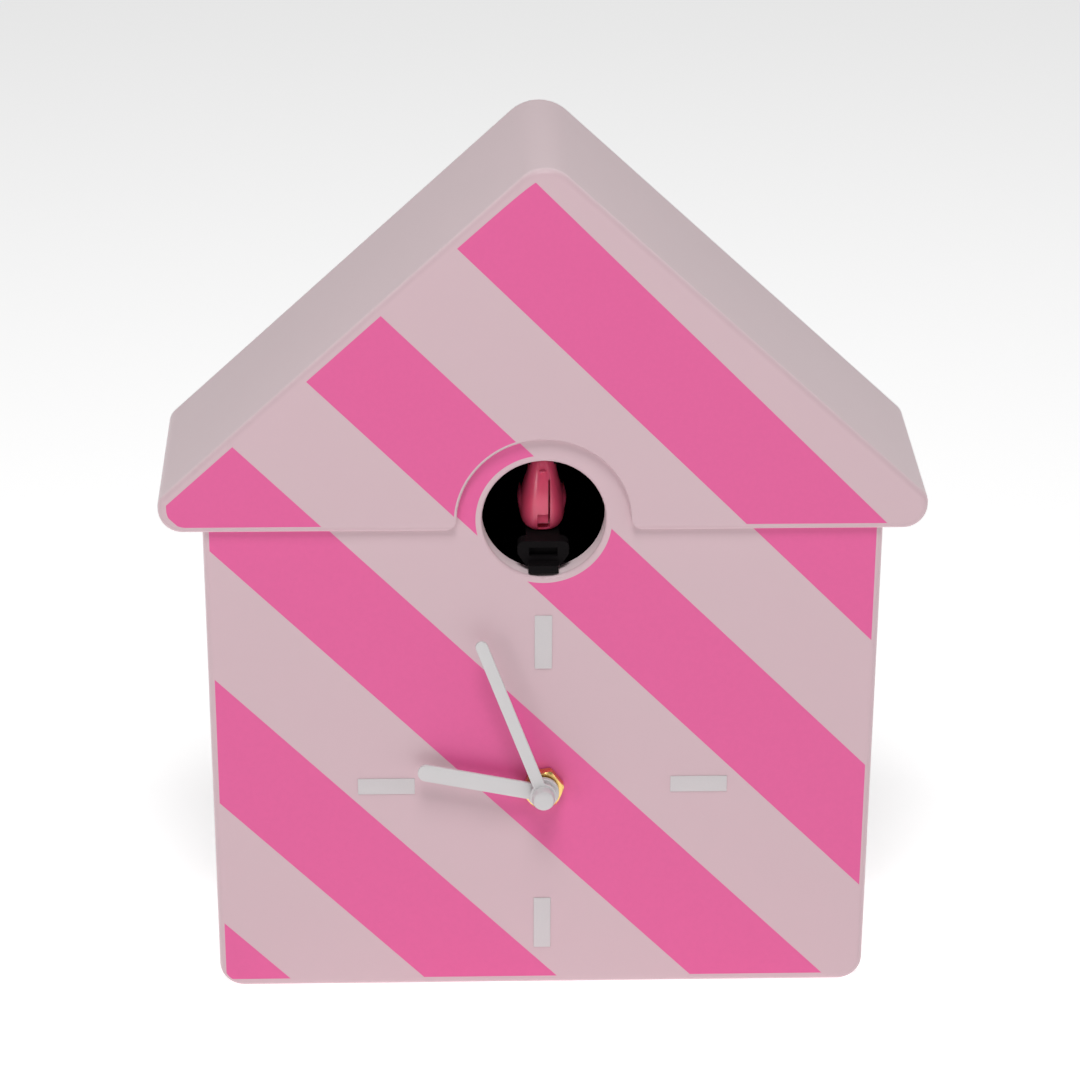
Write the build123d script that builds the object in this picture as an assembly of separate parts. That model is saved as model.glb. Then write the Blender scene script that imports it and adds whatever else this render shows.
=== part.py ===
from build123d import *
import math
import os

os.makedirs("parts", exist_ok=True)

# A house-shaped cuckoo clock: moulded body and roof, quartz movement, sliding bird, rear cover.
# Millimetres, +Z up, front towards -Y, origin at the middle of the base.

# ---- Driving sizes: housing ----
BODY_WIDTH = 200.0
BODY_DEPTH = 70.0
BASE_CORNER_R = 7.5
BODY_WALL = 2.4
BODY_EDGE_R = 2.0
ROOF_SLOPE = 42.25          # degrees
ROOF_APEX = 265.0           # sharp apex height of the roof's front outline
ROOF_HALF_WIDTH = 112.5
ROOF_BOTTOM = 152.8
ROOF_PROUD = 2.2            # roof front stands this far in front of the body
ROOF_FLARE = 2.5            # outline growth from front to back
ROOF_WALL = 2.4
ROOF_FIT = 0.25
ROOF_EDGE_R = 2.0
APEX_R = 10.0
EAVE_TOP_R = 4.5
EAVE_LOW_R = 7.0

# ---- Driving sizes: doorway ----
HOLE_Z = 155.6
HOLE_R = 18.2
COLLAR_WALL = 1.7
COLLAR_DEPTH = 8.4
HOLE_EDGE_R = 0.8
ARCH_R = 25.6
ARCH_CORNER_R = 4.2

# ---- Driving sizes: dial and hands ----
DIAL_Z = 69.1
MARK_RING_R = 47.0
MARK_LENGTH = 18.0
MARK_WIDTH = 4.7
MARK_HEIGHT = 0.3
MINUTE_LENGTH = 54.5
MINUTE_WIDTH = 3.5
HOUR_LENGTH = 38.5
HOUR_WIDTH = 5.5
HAND_THICKNESS = 1.0
MINUTE_ANGLE = 339.5        # clockwise from twelve
HOUR_ANGLE = 282.0
HOUR_HUB_R = 4.8
HAND_LAYER = 2.2            # nut to hour hand, and hour hand to minute hand
HAND_EDGE_R = 0.3
MINUTE_HUB_R = 3.8
CAP_R = 3.4
CAP_HEIGHT = 3.4            # cap in front of the minute hand
CAP_EDGE_R = 0.4

# ---- Driving sizes: quartz movement ----
CASE_SIZE = 56.0
CASE_DEPTH = 16.0
CASE_WALL = 1.2
BUSH_R = 4.0
NUT_FLATS = 11.4
NUT_HEIGHT = 3.2
BUSH_SHOW = 0.4             # bush end beyond the nut
HUB_GAP = 0.3
WASHER_R = 5.2
WASHER_THICKNESS = 0.6
ARBOR_R = 0.6
TUBE_R = 2.5
MINUTE_SHAFT_R = 1.44
RUN_FIT = 0.06              # radial running clearance of small shafts
CENTRE_R = 1.0              # minute arbor behind its pinion
KNOB_R = 6.0
KNOB_SHAFT_R = 1.2
KNOB_GROOVES = 12
TOOTH_TIP = 0.8             # tooth above and below the pitch circle, in modules
TOOTH_ROOT = 1.1
TIP_SHARE = 0.11            # half tooth at tip and root, as a share of the pitch
ROOT_SHARE = 0.27
AA_R = 7.1
AA_LENGTH = 49.6
AA_TIP_R = 2.6
AA_TIP = 1.0

# ---- Driving sizes: rear cover and door ----
COVER_THICKNESS = 2.4
COVER_RECESS = 2.2
COVER_FIT = 0.3
POST_R = 4.2
SCREW_R = 1.45
SCREW_HEAD_R = 2.9
SCREW_HEAD = 1.9
SCREW_REACH = 10.0
SCREW_HOLE_R = 1.5
DOOR_HALF_WIDTH = 40.0
DOOR_BOTTOM = 10.0
DOOR_TOP = 106.0
DOOR_GAP = 0.4
DOOR_SWING_R = 2.2
HINGE_PIN_R = 1.0
LUG_HEIGHT = 8.0
HANGER_Z = 216.0
KEYHOLE_R = 4.5
KEYHOLE_SLOT_R = 2.2
KEYHOLE_RISE = 8.0
HANGER_HALF_WIDTH = 15.0
HANGER_BELOW = 13.0
HANGER_ABOVE = 17.0
HANGER_THICKNESS = 1.2
RIVET_R = 1.8
RIVET_X = 11.0
RIVET_BELOW = 10.0
GRILLE_SLOTS = 7
GRILLE_PITCH = 5.5
GRILLE_SLOT = 2.4
LATCH_RECESS_R = 6.0
LATCH_RECESS = 0.8
LEDGE_HALF_HEIGHT = 8.0

# ---- Driving sizes: bird and its drive ----
TRAVEL = 27.0
BIRD_WIDTH = 14.6
BIRD_FRONT = 11.0           # breast, behind the body's front face
BIRD_LENGTH = 22.0
BIRD_FOOT = 147.2
BIRD_HEIGHT = 25.0
BELLY_RISE = 0.40           # centres and half heights, as shares of the bird's height
BELLY_HALF = 0.42
HEAD_RISE = 0.74
HEAD_HALF = 0.26
HEAD_R = 5.2
WING_RISE = 0.30
WING_HALF = 0.24
WING_THICKNESS = 1.2
BEAK_RISE = 0.62
BIRD_SEAM_X = 1.9           # parting line of the two halves
BIRD_SEAM_GAP = 0.1
HOOD_CLEAR = 3.0            # hood's roof above the doorway
HOOD_WALL = 1.6
ARCH_EDGE_R = 0.4
ARM_THICKNESS = 2.4
ARM_HALF_WIDTH = 4.5
ARM_CLEAR = 0.45            # arm above the collar's inner wall
TAB_EDGE_R = 0.9
SADDLE_HALF_WIDTH = 7.6
SADDLE_FRONT = 4.0
SADDLE_BACK = 9.0
SADDLE_EDGE_R = 2.0
ROD_R = 1.5
ROD_X = 9.0
ROD_CLEAR = 4.7             # guide rods below the collar
RACK_MODULE = 1.0
PINION_TEETH = 12
DRIVE_TEETH = 30
MOTOR_TEETH = 10
DRIVE_MODULE = 0.8
PINION_DEPTH = 34.0         # pinion axis behind the front face
SHAFT_R = 1.5
CHASSIS_HALF_WIDTH = 22.0
CHASSIS_WALL = 2.0
MOTOR_R = 9.5
MOTOR_HALF_HEIGHT = 7.5
MOTOR_LENGTH = 24.0
MOTOR_SHAFT_R = 1.0
EAR_WIDTH = 8.0
EAR_LOW = 4.0               # ears, above the chassis floor
EAR_HIGH = 26.0
EAR_SCREW_INSET = 5.0
RACK_HALF_WIDTH = 3.0
RACK_SLOT = 4.2             # half width of the rack's slots in the chassis walls
RACK_DROP = 10.0            # rack's pitch line below the guide rods
BLOCK_HALF_WIDTH = 14.0
BLOCK_HALF_HEIGHT = 4.5
BLOCK_LENGTH = 12.0
DRIVE_X = 16.0
GEAR_WIDTH = 2.6

# ---- Driving sizes: sound parts and power ----
SPEAKER_X = -64.0
SPEAKER_Z = 134.0
SPEAKER_R = 24.0
SPEAKER_POT_R = 14.9
MAGNET_BLOCK_R = 9.0
MAGNET_BLOCK = 5.0
BOARD_X = 72.0
BOARD_Z = 134.0
BOARD_WIDTH = 42.0
BOARD_HEIGHT = 34.0
BOARD_THICKNESS = 1.6
SWITCH_TRAVEL = 4.0
BUTTON_TRAVEL = 1.2
SLIDER_HALF = 2.0
BUTTON_R = 3.5
VOLUME_R = 5.5
VOLUME_SHAFT_R = 1.5
VOLUME_GROOVES = 16
TRAY_BOTTOM = 12.0
TRAY_WALL = 1.5
TRAY_FLANGE = 12.0
CELL_GAP = 0.4
CONTACT_ROOM = 1.6
CONTACT_HALF = 5.0

FRONT = -BODY_DEPTH / 2
BACK = BODY_DEPTH / 2
SLOPE = math.radians(ROOF_SLOPE)
COVER_OUT = BODY_DEPTH - COVER_RECESS
COVER_IN = COVER_OUT - COVER_THICKNESS


def limits(x0, x1, d0, d1, z0, z1):
    """Box from its limits; depths are measured back from the body's front face."""
    size = Box(x1 - x0, d1 - d0, z1 - z0)
    return Pos((x0 + x1) / 2, FRONT + (d0 + d1) / 2, (z0 + z1) / 2) * size


def rod_y(x, z, radius, d0, d1):
    """Round bar along Y between two depths."""
    bar = Cylinder(radius, d1 - d0)
    return Pos(x, FRONT + (d0 + d1) / 2, z) * Rot(90, 0, 0) * bar


def rod_x(d, z, radius, x0, x1):
    """Round bar along X."""
    bar = Cylinder(radius, x1 - x0)
    return Pos((x0 + x1) / 2, FRONT + d, z) * Rot(0, 90, 0) * bar


def rod_z(x, d, radius, z0, z1):
    """Round bar along Z."""
    return Pos(x, FRONT + d, (z0 + z1) / 2) * Cylinder(radius, z1 - z0)


def plate_y(sketch, d0, d1):
    """Extrude a sketch drawn in X and Z from one depth to another."""
    on_front = Plane(origin=(0, FRONT + d0, 0), x_dir=(1, 0, 0), z_dir=(0, -1, 0))
    return extrude(on_front * sketch, -(d1 - d0))


def gear_outline(teeth, module, phase):
    """Toothed outline; one tooth is centred on the phase angle in degrees."""
    pitch = teeth * module / 2
    tip = pitch + TOOTH_TIP * module
    root = pitch - TOOTH_ROOT * module
    step = 2 * math.pi / teeth
    points = []
    for i in range(teeth):
        middle = math.radians(phase) + i * step
        for radius, share in ((root, -ROOT_SHARE), (tip, -TIP_SHARE), (tip, TIP_SHARE), (root, ROOT_SHARE)):
            angle = middle + share * step
            points.append((radius * math.cos(angle), radius * math.sin(angle)))
    return make_face(Polyline(points, close=True))


def gear_y(x, z, teeth, module, phase, d0, d1):
    """Spur gear with its axis along Y."""
    return plate_y(Pos(x, z) * gear_outline(teeth, module, phase), d0, d1)


def gear_x(d, z, teeth, module, phase, x0, x1):
    """Spur gear with its axis along X; the phase turns from +Y towards +Z."""
    side = Plane(origin=(x0, FRONT + d, z), x_dir=(0, 1, 0), z_dir=(1, 0, 0))
    return extrude(side * gear_outline(teeth, module, phase), x1 - x0)


def keep(name, shape):
    """Write one sub-part."""
    solids = shape.solids() if hasattr(shape, "solids") else [shape]
    result = solids[0] if len(solids) == 1 else Compound(children=list(solids))
    export_step(result, f"parts/{name}.step")


# ---- Housing ----
def gable_outline(half_width, bottom, apex, radii):
    """House outline in X and Z with rounded apex, eaves and base corners."""
    eave = apex - half_width * math.tan(SLOPE)
    top_r, eave_r, low_r = radii
    points = [(-half_width, bottom), (half_width, bottom), (half_width, eave), (0, apex),
              (-half_width, eave)]
    outline = make_face(Polyline(points, close=True))
    corners = outline.vertices()
    top = [v for v in corners if v.Y > eave + 1]
    low = [v for v in corners if v.Y < bottom + 1]
    side = [v for v in corners if bottom + 1 <= v.Y <= eave + 1]
    outline = fillet(top, top_r)
    if eave_r:
        side = [v for v in outline.vertices() if any((v.center() - s.center()).length < 0.01 for s in side)]
        outline = fillet(side, eave_r)
    low = [v for v in outline.vertices() if any((v.center() - s.center()).length < 0.01 for s in low)]
    return fillet(low, low_r)


ROOF_INNER_APEX = ROOF_APEX - ROOF_WALL / math.cos(SLOPE)
BODY_APEX = ROOF_INNER_APEX - ROOF_FIT / math.cos(SLOPE)
BODY_HALF = BODY_WIDTH / 2


def body_outline(grow):
    """The body's outline, offset outwards by grow."""
    apex = BODY_APEX + grow / math.cos(SLOPE)
    apex_r = APEX_R - ROOF_WALL - ROOF_FIT + grow
    return gable_outline(BODY_HALF + grow, -grow, apex, (apex_r, 0, BASE_CORNER_R + grow))


def roof_outline(grow):
    """The roof's outline, offset outwards by grow."""
    apex = ROOF_APEX + grow / math.cos(SLOPE)
    radii = (APEX_R + grow, EAVE_TOP_R + grow / 2, EAVE_LOW_R + grow)
    return gable_outline(ROOF_HALF_WIDTH + grow, ROOF_BOTTOM - grow, apex, radii)


POST_PLACES = [(-88, 13), (88, 13), (-88, 158), (88, 158), (0, 240)]

body = plate_y(body_outline(0), 0, BODY_DEPTH)
front_edges = [
    e for e in body.faces().sort_by(Axis.Y)[0].edges() if e.center().Z < ROOF_BOTTOM
]
body = fillet(front_edges, BODY_EDGE_R)
body -= plate_y(body_outline(-BODY_WALL), BODY_WALL, BODY_DEPTH + 1)
body += rod_y(0, HOLE_Z, HOLE_R + COLLAR_WALL, BODY_WALL / 2, COLLAR_DEPTH)
body -= rod_y(0, HOLE_Z, HOLE_R, -1, COLLAR_DEPTH + 1)
rim = [e for e in body.edges().filter_by(GeomType.CIRCLE) if abs(e.radius - HOLE_R) < 0.01]
body = fillet(rim, HOLE_EDGE_R)
for x, z in POST_PLACES:
    body += rod_y(x, z, POST_R, BODY_WALL - 0.5, COVER_IN)
    body -= rod_y(x, z, SCREW_HOLE_R, COVER_IN - SCREW_REACH - 2, COVER_IN + 1)
body -= rod_y(0, DIAL_Z, BUSH_R + 0.05, -1, BODY_WALL + 1)
keep("house_body", body)

roof_front = plate_y(roof_outline(0), -ROOF_PROUD, -ROOF_PROUD + 1).faces().sort_by(Axis.Y)[0]
roof_back = plate_y(roof_outline(ROOF_FLARE), BODY_DEPTH - 1, BODY_DEPTH).faces().sort_by(Axis.Y)[-1]
roof = loft([roof_front, roof_back], ruled=True)
roof = fillet(roof.faces().sort_by(Axis.Y)[0].edges(), ROOF_EDGE_R)
roof -= plate_y(roof_outline(-ROOF_WALL), 0, BODY_DEPTH + 1)
roof -= plate_y(body_outline(ROOF_FIT), 0, BODY_DEPTH + 1)
flare_x = ARCH_R + ARCH_CORNER_R
flare_z = ROOF_BOTTOM + ARCH_CORNER_R
notch = Pos(0, HOLE_Z) * Circle(ARCH_R)
notch += Pos(0, HOLE_Z - 10) * Rectangle(2 * ARCH_R, 20)
flare = Pos(0, flare_z - 10) * Rectangle(2 * flare_x, 20)
flare -= Pos(flare_x, flare_z) * Circle(ARCH_CORNER_R)
flare -= Pos(-flare_x, flare_z) * Circle(ARCH_CORNER_R)
notch += flare
roof -= plate_y(notch, -ROOF_PROUD - 1, 1)
arch_edges = [e for e in roof.edges().filter_by(GeomType.CIRCLE)
              if abs(e.radius - ARCH_R) < 0.01 and e.center().Y < FRONT - ROOF_PROUD + 0.01]
roof = fillet(arch_edges, ARCH_EDGE_R)
keep("roof_shell", roof)

marks = []
for i in range(4):
    upright = Pos(0, MARK_RING_R) * RectangleRounded(MARK_WIDTH, MARK_LENGTH, MARK_WIDTH * 0.12)
    marks.append(plate_y(Pos(0, DIAL_Z) * Rot(0, 0, 90 * i) * upright, -MARK_HEIGHT, 0))
keep("dial_marks", Compound(children=[s for m in marks for s in m.solids()]))

# ---- Rear cover, door and hanger ----
hinge_x = -DOOR_HALF_WIDTH + DOOR_SWING_R + DOOR_GAP
hinge_d = COVER_IN + COVER_THICKNESS / 2 - 0.2
hinge_z0 = DOOR_BOTTOM + DOOR_GAP
hinge_z1 = DOOR_TOP - DOOR_GAP

cover = plate_y(body_outline(-BODY_WALL - COVER_FIT), COVER_IN, COVER_OUT)
cover -= limits(-DOOR_HALF_WIDTH, DOOR_HALF_WIDTH, COVER_IN - 1, COVER_OUT + 1, DOOR_BOTTOM, DOOR_TOP)
for z0, z1 in ((DOOR_BOTTOM - LUG_HEIGHT, DOOR_BOTTOM), (DOOR_TOP, DOOR_TOP + LUG_HEIGHT)):
    cover += limits(hinge_x - 3, hinge_x + 3, COVER_IN - 3, COVER_OUT, max(z0, BODY_WALL + 0.5), z1)
cover -= rod_z(hinge_x, hinge_d, HINGE_PIN_R + 0.02, DOOR_BOTTOM - 5, DOOR_TOP + 5)
ledge_z = (DOOR_BOTTOM + DOOR_TOP) / 2
cover += limits(DOOR_HALF_WIDTH - 3, DOOR_HALF_WIDTH + 3, COVER_IN - 2, COVER_IN,
                ledge_z - LEDGE_HALF_HEIGHT, ledge_z + LEDGE_HALF_HEIGHT)
for x, z in POST_PLACES:
    cover -= rod_y(x, z, SCREW_HOLE_R + 0.2, COVER_IN - 1, COVER_OUT + 1)
hanger_half = KEYHOLE_R + 2.5
cover -= limits(-hanger_half, hanger_half, COVER_IN - 1, COVER_OUT + 1, HANGER_Z - 8, HANGER_Z + 13)
for i in range(GRILLE_SLOTS):
    slot_z = SPEAKER_Z + (i - (GRILLE_SLOTS - 1) / 2) * GRILLE_PITCH
    slot_half = math.sqrt((SPEAKER_R - 4) ** 2 - (slot_z - SPEAKER_Z) ** 2)
    slot = Pos(SPEAKER_X, slot_z) * SlotOverall(2 * slot_half, GRILLE_SLOT)
    cover -= plate_y(slot, COVER_IN - 1, COVER_OUT + 1)
SWITCH_X = BOARD_X - 12
BUTTON_X = BOARD_X
KNOB_X = BOARD_X + 13
CONTROL_Z = BOARD_Z + 4
cover -= limits(SWITCH_X - SLIDER_HALF - SWITCH_TRAVEL - 0.4, SWITCH_X + SLIDER_HALF + SWITCH_TRAVEL + 0.4,
                COVER_IN - 1, COVER_OUT + 1, CONTROL_Z - 2.4, CONTROL_Z + 2.4)
cover -= rod_y(BUTTON_X, CONTROL_Z, BUTTON_R + 0.3, COVER_IN - 1, COVER_OUT + 1)
cover -= rod_y(KNOB_X, CONTROL_Z, VOLUME_R + 0.3, COVER_IN - 1, COVER_OUT + 1)
BOARD_BACK = COVER_IN - 8.0
BOARD_FRONT = BOARD_BACK - BOARD_THICKNESS
board_posts = [(BOARD_X + sx * (BOARD_WIDTH / 2 - 3.5), BOARD_Z + sz * (BOARD_HEIGHT / 2 - 3.5))
               for sx in (-1, 1) for sz in (-1, 1)]
for x, z in board_posts:
    cover += rod_y(x, z, 2.6, BOARD_BACK, COVER_IN + 0.5)
    cover -= rod_y(x, z, 0.95, BOARD_BACK - 1, BOARD_BACK + 6)
keep("rear_cover", cover)

door = limits(hinge_x, DOOR_HALF_WIDTH - DOOR_GAP, COVER_IN, COVER_OUT, hinge_z0, hinge_z1)
door += rod_z(hinge_x, hinge_d, DOOR_SWING_R, hinge_z0, hinge_z1)
door -= rod_z(hinge_x, hinge_d, HINGE_PIN_R + 0.05, hinge_z0 - 1, hinge_z1 + 1)
door -= rod_y(DOOR_HALF_WIDTH - 2 * LATCH_RECESS_R, ledge_z, LATCH_RECESS_R, COVER_OUT - LATCH_RECESS,
              COVER_OUT + 1)
for i in range(5):
    rib_z = DOOR_BOTTOM + 14 + i * (DOOR_TOP - DOOR_BOTTOM - 28) / 4
    if abs(rib_z - ledge_z) > LEDGE_HALF_HEIGHT:
        door += limits(hinge_x + 6, DOOR_HALF_WIDTH - 8, COVER_IN - 1.0, COVER_IN, rib_z - 0.7, rib_z + 0.7)
keep("battery_door", door)

pins = [rod_z(hinge_x, hinge_d, HINGE_PIN_R, DOOR_BOTTOM - 4.8, DOOR_BOTTOM + 12),
        rod_z(hinge_x, hinge_d, HINGE_PIN_R, DOOR_TOP - 12, DOOR_TOP + 4.8)]
keep("door_hinge_pins", Compound(children=pins))


def screw(x, z, head_face, reach, radius, head_r, head):
    """Pan-head screw driven along Y from behind; the head's underside is at head_face."""
    body_part = rod_y(x, z, radius, head_face - reach, head_face)
    body_part += rod_y(x, z, head_r, head_face, head_face + head)
    slot_depth = head * 0.5
    cross = limits(x - head_r * 0.62, x + head_r * 0.62, head_face + head - slot_depth, head_face + head + 1,
                   z - 0.35, z + 0.35)
    cross += limits(x - 0.35, x + 0.35, head_face + head - slot_depth, head_face + head + 1,
                    z - head_r * 0.62, z + head_r * 0.62)
    return body_part - cross


screws = [screw(x, z, COVER_OUT, SCREW_REACH, SCREW_R, SCREW_HEAD_R, SCREW_HEAD) for x, z in POST_PLACES]
keep("cover_screws", Compound(children=screws))

HANGER_FRONT = COVER_IN - HANGER_THICKNESS
hanger = limits(-HANGER_HALF_WIDTH, HANGER_HALF_WIDTH, HANGER_FRONT, COVER_IN,
                HANGER_Z - HANGER_BELOW, HANGER_Z + HANGER_ABOVE)
hanger -= rod_y(0, HANGER_Z, KEYHOLE_R, COVER_IN - 2, COVER_IN + 1)
hanger -= limits(-KEYHOLE_SLOT_R, KEYHOLE_SLOT_R, COVER_IN - 2, COVER_IN + 1,
                 HANGER_Z, HANGER_Z + KEYHOLE_RISE)
hanger -= rod_y(0, HANGER_Z + KEYHOLE_RISE, KEYHOLE_SLOT_R, COVER_IN - 2, COVER_IN + 1)
keep("hanger_plate", hanger)
rivets = [rod_y(x, HANGER_Z - RIVET_BELOW, RIVET_R, HANGER_FRONT - 0.8, HANGER_FRONT)
          for x in (-RIVET_X, RIVET_X)]
keep("hanger_rivets", Compound(children=rivets))

# ---- Quartz movement ----
CASE_IN = BODY_WALL
CASE_BACK = CASE_IN + CASE_DEPTH
CASE_HALF = CASE_SIZE / 2
FLOOR = CASE_IN + CASE_WALL
LID_FRONT = CASE_BACK - CASE_WALL
CELL_Z = DIAL_Z - CASE_HALF + CASE_WALL + AA_R + 0.3
PARTITION_Z = CELL_Z + AA_R + 0.3


def around(radius, degrees, start=(0.0, 0.0)):
    """Point at a distance and angle from another point in X and Z."""
    angle = math.radians(degrees)
    return (start[0] + radius * math.cos(angle), start[1] + radius * math.sin(angle))


# Gear train: (teeth, module); each centre lies one mesh distance from the one that drives it.
MINUTE_PINION = (12, 0.5)
MOTION_WHEEL = (36, 0.5)
MOTION_PINION = (10, 0.48)
HOUR_WHEEL = (40, 0.48)
KNOB_PINION = (12, 0.5)
CENTRE_WHEEL = (64, 0.34)
THIRD_PINION = (8, 0.34)
THIRD_WHEEL = (60, 0.3)
SECONDS_PINION = (8, 0.3)
SECONDS_WHEEL = (60, 0.25)
STEP_PINION = (10, 0.25)
STEP_WHEEL = (50, 0.2)
ROTOR_PINION = (10, 0.2)


def mesh(first, second):
    """Centre distance of two meshing gears."""
    return (first[0] * first[1] + second[0] * second[1]) / 2


MOTION_AT = 20
KNOB_AT = -50
THIRD_AT = 150
SECONDS_AT = 78
STEP_AT = 0
ROTOR_AT = 0
dial = (0.0, DIAL_Z)
motion = around(mesh(MINUTE_PINION, MOTION_WHEEL), MOTION_AT, dial)
knob = around(mesh(MOTION_WHEEL, KNOB_PINION), KNOB_AT, motion)
third = around(mesh(CENTRE_WHEEL, THIRD_PINION), THIRD_AT, dial)
seconds = around(mesh(THIRD_WHEEL, SECONDS_PINION), SECONDS_AT, third)
stepper = around(mesh(SECONDS_WHEEL, STEP_PINION), STEP_AT, seconds)
rotor_at = around(mesh(STEP_WHEEL, ROTOR_PINION), ROTOR_AT, stepper)


def facing(gear, degrees):
    """Phase that puts a gap, not a tooth, at the given angle."""
    return degrees + 180 / gear[0]


PIVOT_END = FLOOR + 11.4
BRIDGE_FRONT = FLOOR + 10.6
BRIDGE_BACK = BRIDGE_FRONT + 1.0
layer = {
    "hour": (FLOOR + 0.4, FLOOR + 1.4),
    "motion": (FLOOR + 2.0, FLOOR + 3.0),
    "centre": (FLOOR + 4.0, FLOOR + 4.8),
    "third": (FLOOR + 5.6, FLOOR + 6.4),
    "seconds": (FLOOR + 7.2, FLOOR + 8.0),
    "step": (FLOOR + 8.8, FLOOR + 9.6),
}

case = limits(-CASE_HALF, CASE_HALF, CASE_IN, CASE_BACK, DIAL_Z - CASE_HALF, DIAL_Z + CASE_HALF)
case = fillet(case.edges().filter_by(Axis.Y), 3.0)
case -= limits(-CASE_HALF + CASE_WALL, CASE_HALF - CASE_WALL, FLOOR, CASE_BACK + 1,
               PARTITION_Z + 0.8, DIAL_Z + CASE_HALF - CASE_WALL)
case -= limits(-CASE_HALF + CASE_WALL, CASE_HALF - CASE_WALL, FLOOR, CASE_BACK + 1,
               DIAL_Z - CASE_HALF + CASE_WALL, PARTITION_Z)
case -= rod_y(0, DIAL_Z, BUSH_R + 0.02, CASE_IN - 1, FLOOR + 1)
for x, z in (third, seconds, stepper, rotor_at, motion, knob):
    case -= rod_y(x, z, ARBOR_R + RUN_FIT, CASE_IN + 0.2, FLOOR + 1)
keep("movement_case", case)

lid = limits(-CASE_HALF + CASE_WALL + 0.1, CASE_HALF - CASE_WALL - 0.1, LID_FRONT, CASE_BACK,
             PARTITION_Z + 0.9, DIAL_Z + CASE_HALF - CASE_WALL - 0.1)
lid -= rod_y(knob[0], knob[1], KNOB_SHAFT_R + RUN_FIT, LID_FRONT - 1, CASE_BACK + 1)
keep("movement_lid", lid)

NUT_FRONT = -WASHER_THICKNESS - NUT_HEIGHT
bush = rod_y(0, DIAL_Z, BUSH_R, NUT_FRONT - BUSH_SHOW, FLOOR)
bush = chamfer(bush.edges().sort_by(Axis.Y)[0], 0.3)
for i in range(4):
    groove_at = NUT_FRONT - 0.1 + i * 0.8
    ring = rod_y(0, DIAL_Z, BUSH_R + 1, groove_at - 0.15, groove_at + 0.15)
    ring -= rod_y(0, DIAL_Z, BUSH_R - 0.3, groove_at - 0.2, groove_at + 0.2)
    bush -= ring
bush -= rod_y(0, DIAL_Z, TUBE_R + RUN_FIT, -20, 20)
keep("threaded_bush", bush)
washer = rod_y(0, DIAL_Z, WASHER_R, -WASHER_THICKNESS, 0) - rod_y(0, DIAL_Z, BUSH_R + 0.1, -5, 5)
keep("bush_washer", washer)
nut_sketch = Pos(0, DIAL_Z) * RegularPolygon(NUT_FLATS / 2, 6, major_radius=False, rotation=8)
nut = plate_y(nut_sketch, NUT_FRONT, -WASHER_THICKNESS)
dome = rod_y(0, DIAL_Z, NUT_FLATS * 0.56, NUT_FRONT, -WASHER_THICKNESS)
dome = chamfer(dome.edges().sort_by(Axis.Y)[0], 0.6)
nut = (nut & dome) - rod_y(0, DIAL_Z, BUSH_R + 0.02, -10, 5)
keep("hex_nut", nut)

HOUR_PLATE = NUT_FRONT - HAND_LAYER
hour_wheel = gear_y(0, DIAL_Z, *HOUR_WHEEL, facing(HOUR_WHEEL, MOTION_AT), *layer["hour"])
hour_wheel += rod_y(0, DIAL_Z, TUBE_R, HOUR_PLATE - 0.4, layer["hour"][1])
hour_wheel -= rod_y(0, DIAL_Z, MINUTE_SHAFT_R + RUN_FIT, -20, 20)
keep("hour_wheel", hour_wheel)


def hand(length, width, hub_r, turn, d0, d1):
    """A straight round-ended hand with a round hub; turn is clockwise from twelve."""
    blade = Pos(0, length / 2 - width / 4) * Rectangle(width, length - width / 2)
    blade += Pos(0, length - width / 2) * Circle(width / 2)
    blade += Circle(hub_r)
    return plate_y(Pos(0, DIAL_Z) * Rot(0, 0, -turn) * blade, d0, d1)


hour_hand = hand(HOUR_LENGTH, HOUR_WIDTH, HOUR_HUB_R, HOUR_ANGLE, HOUR_PLATE, HOUR_PLATE + HAND_THICKNESS)
hour_hand += rod_y(0, DIAL_Z, HOUR_HUB_R, HOUR_PLATE, NUT_FRONT - BUSH_SHOW - HUB_GAP)
hour_hand -= rod_y(0, DIAL_Z, TUBE_R, -20, 5)
hour_hand = hour_hand.solids()[0]
hour_hand = fillet(hour_hand.faces().sort_by(Axis.Y)[0].outer_wire().edges(), HAND_EDGE_R)
keep("hour_hand", hour_hand)

MINUTE_PLATE = HOUR_PLATE - HAND_LAYER
arbor = rod_y(0, DIAL_Z, MINUTE_SHAFT_R, MINUTE_PLATE + 0.2, layer["motion"][1])
arbor += gear_y(0, DIAL_Z, *MINUTE_PINION, MOTION_AT, *layer["motion"])
arbor += rod_y(0, DIAL_Z, CENTRE_R, layer["motion"][1], PIVOT_END)
keep("minute_arbor", arbor)

minute_hand = hand(MINUTE_LENGTH, MINUTE_WIDTH, MINUTE_HUB_R, MINUTE_ANGLE,
                   MINUTE_PLATE, MINUTE_PLATE + HAND_THICKNESS)
minute_hand += rod_y(0, DIAL_Z, 3.0, MINUTE_PLATE, HOUR_PLATE - 0.4 - HUB_GAP)
minute_hand -= rod_y(0, DIAL_Z, MINUTE_SHAFT_R, MINUTE_PLATE + 0.2, 5)
minute_hand = minute_hand.solids()[0]
minute_hand = fillet(minute_hand.faces().sort_by(Axis.Y)[0].outer_wire().edges(), HAND_EDGE_R)
keep("minute_hand", minute_hand)
cap = rod_y(0, DIAL_Z, CAP_R, MINUTE_PLATE - CAP_HEIGHT, MINUTE_PLATE)
cap = fillet(cap.edges().sort_by(Axis.Y)[0], CAP_EDGE_R)
keep("hand_cap", cap)


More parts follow.
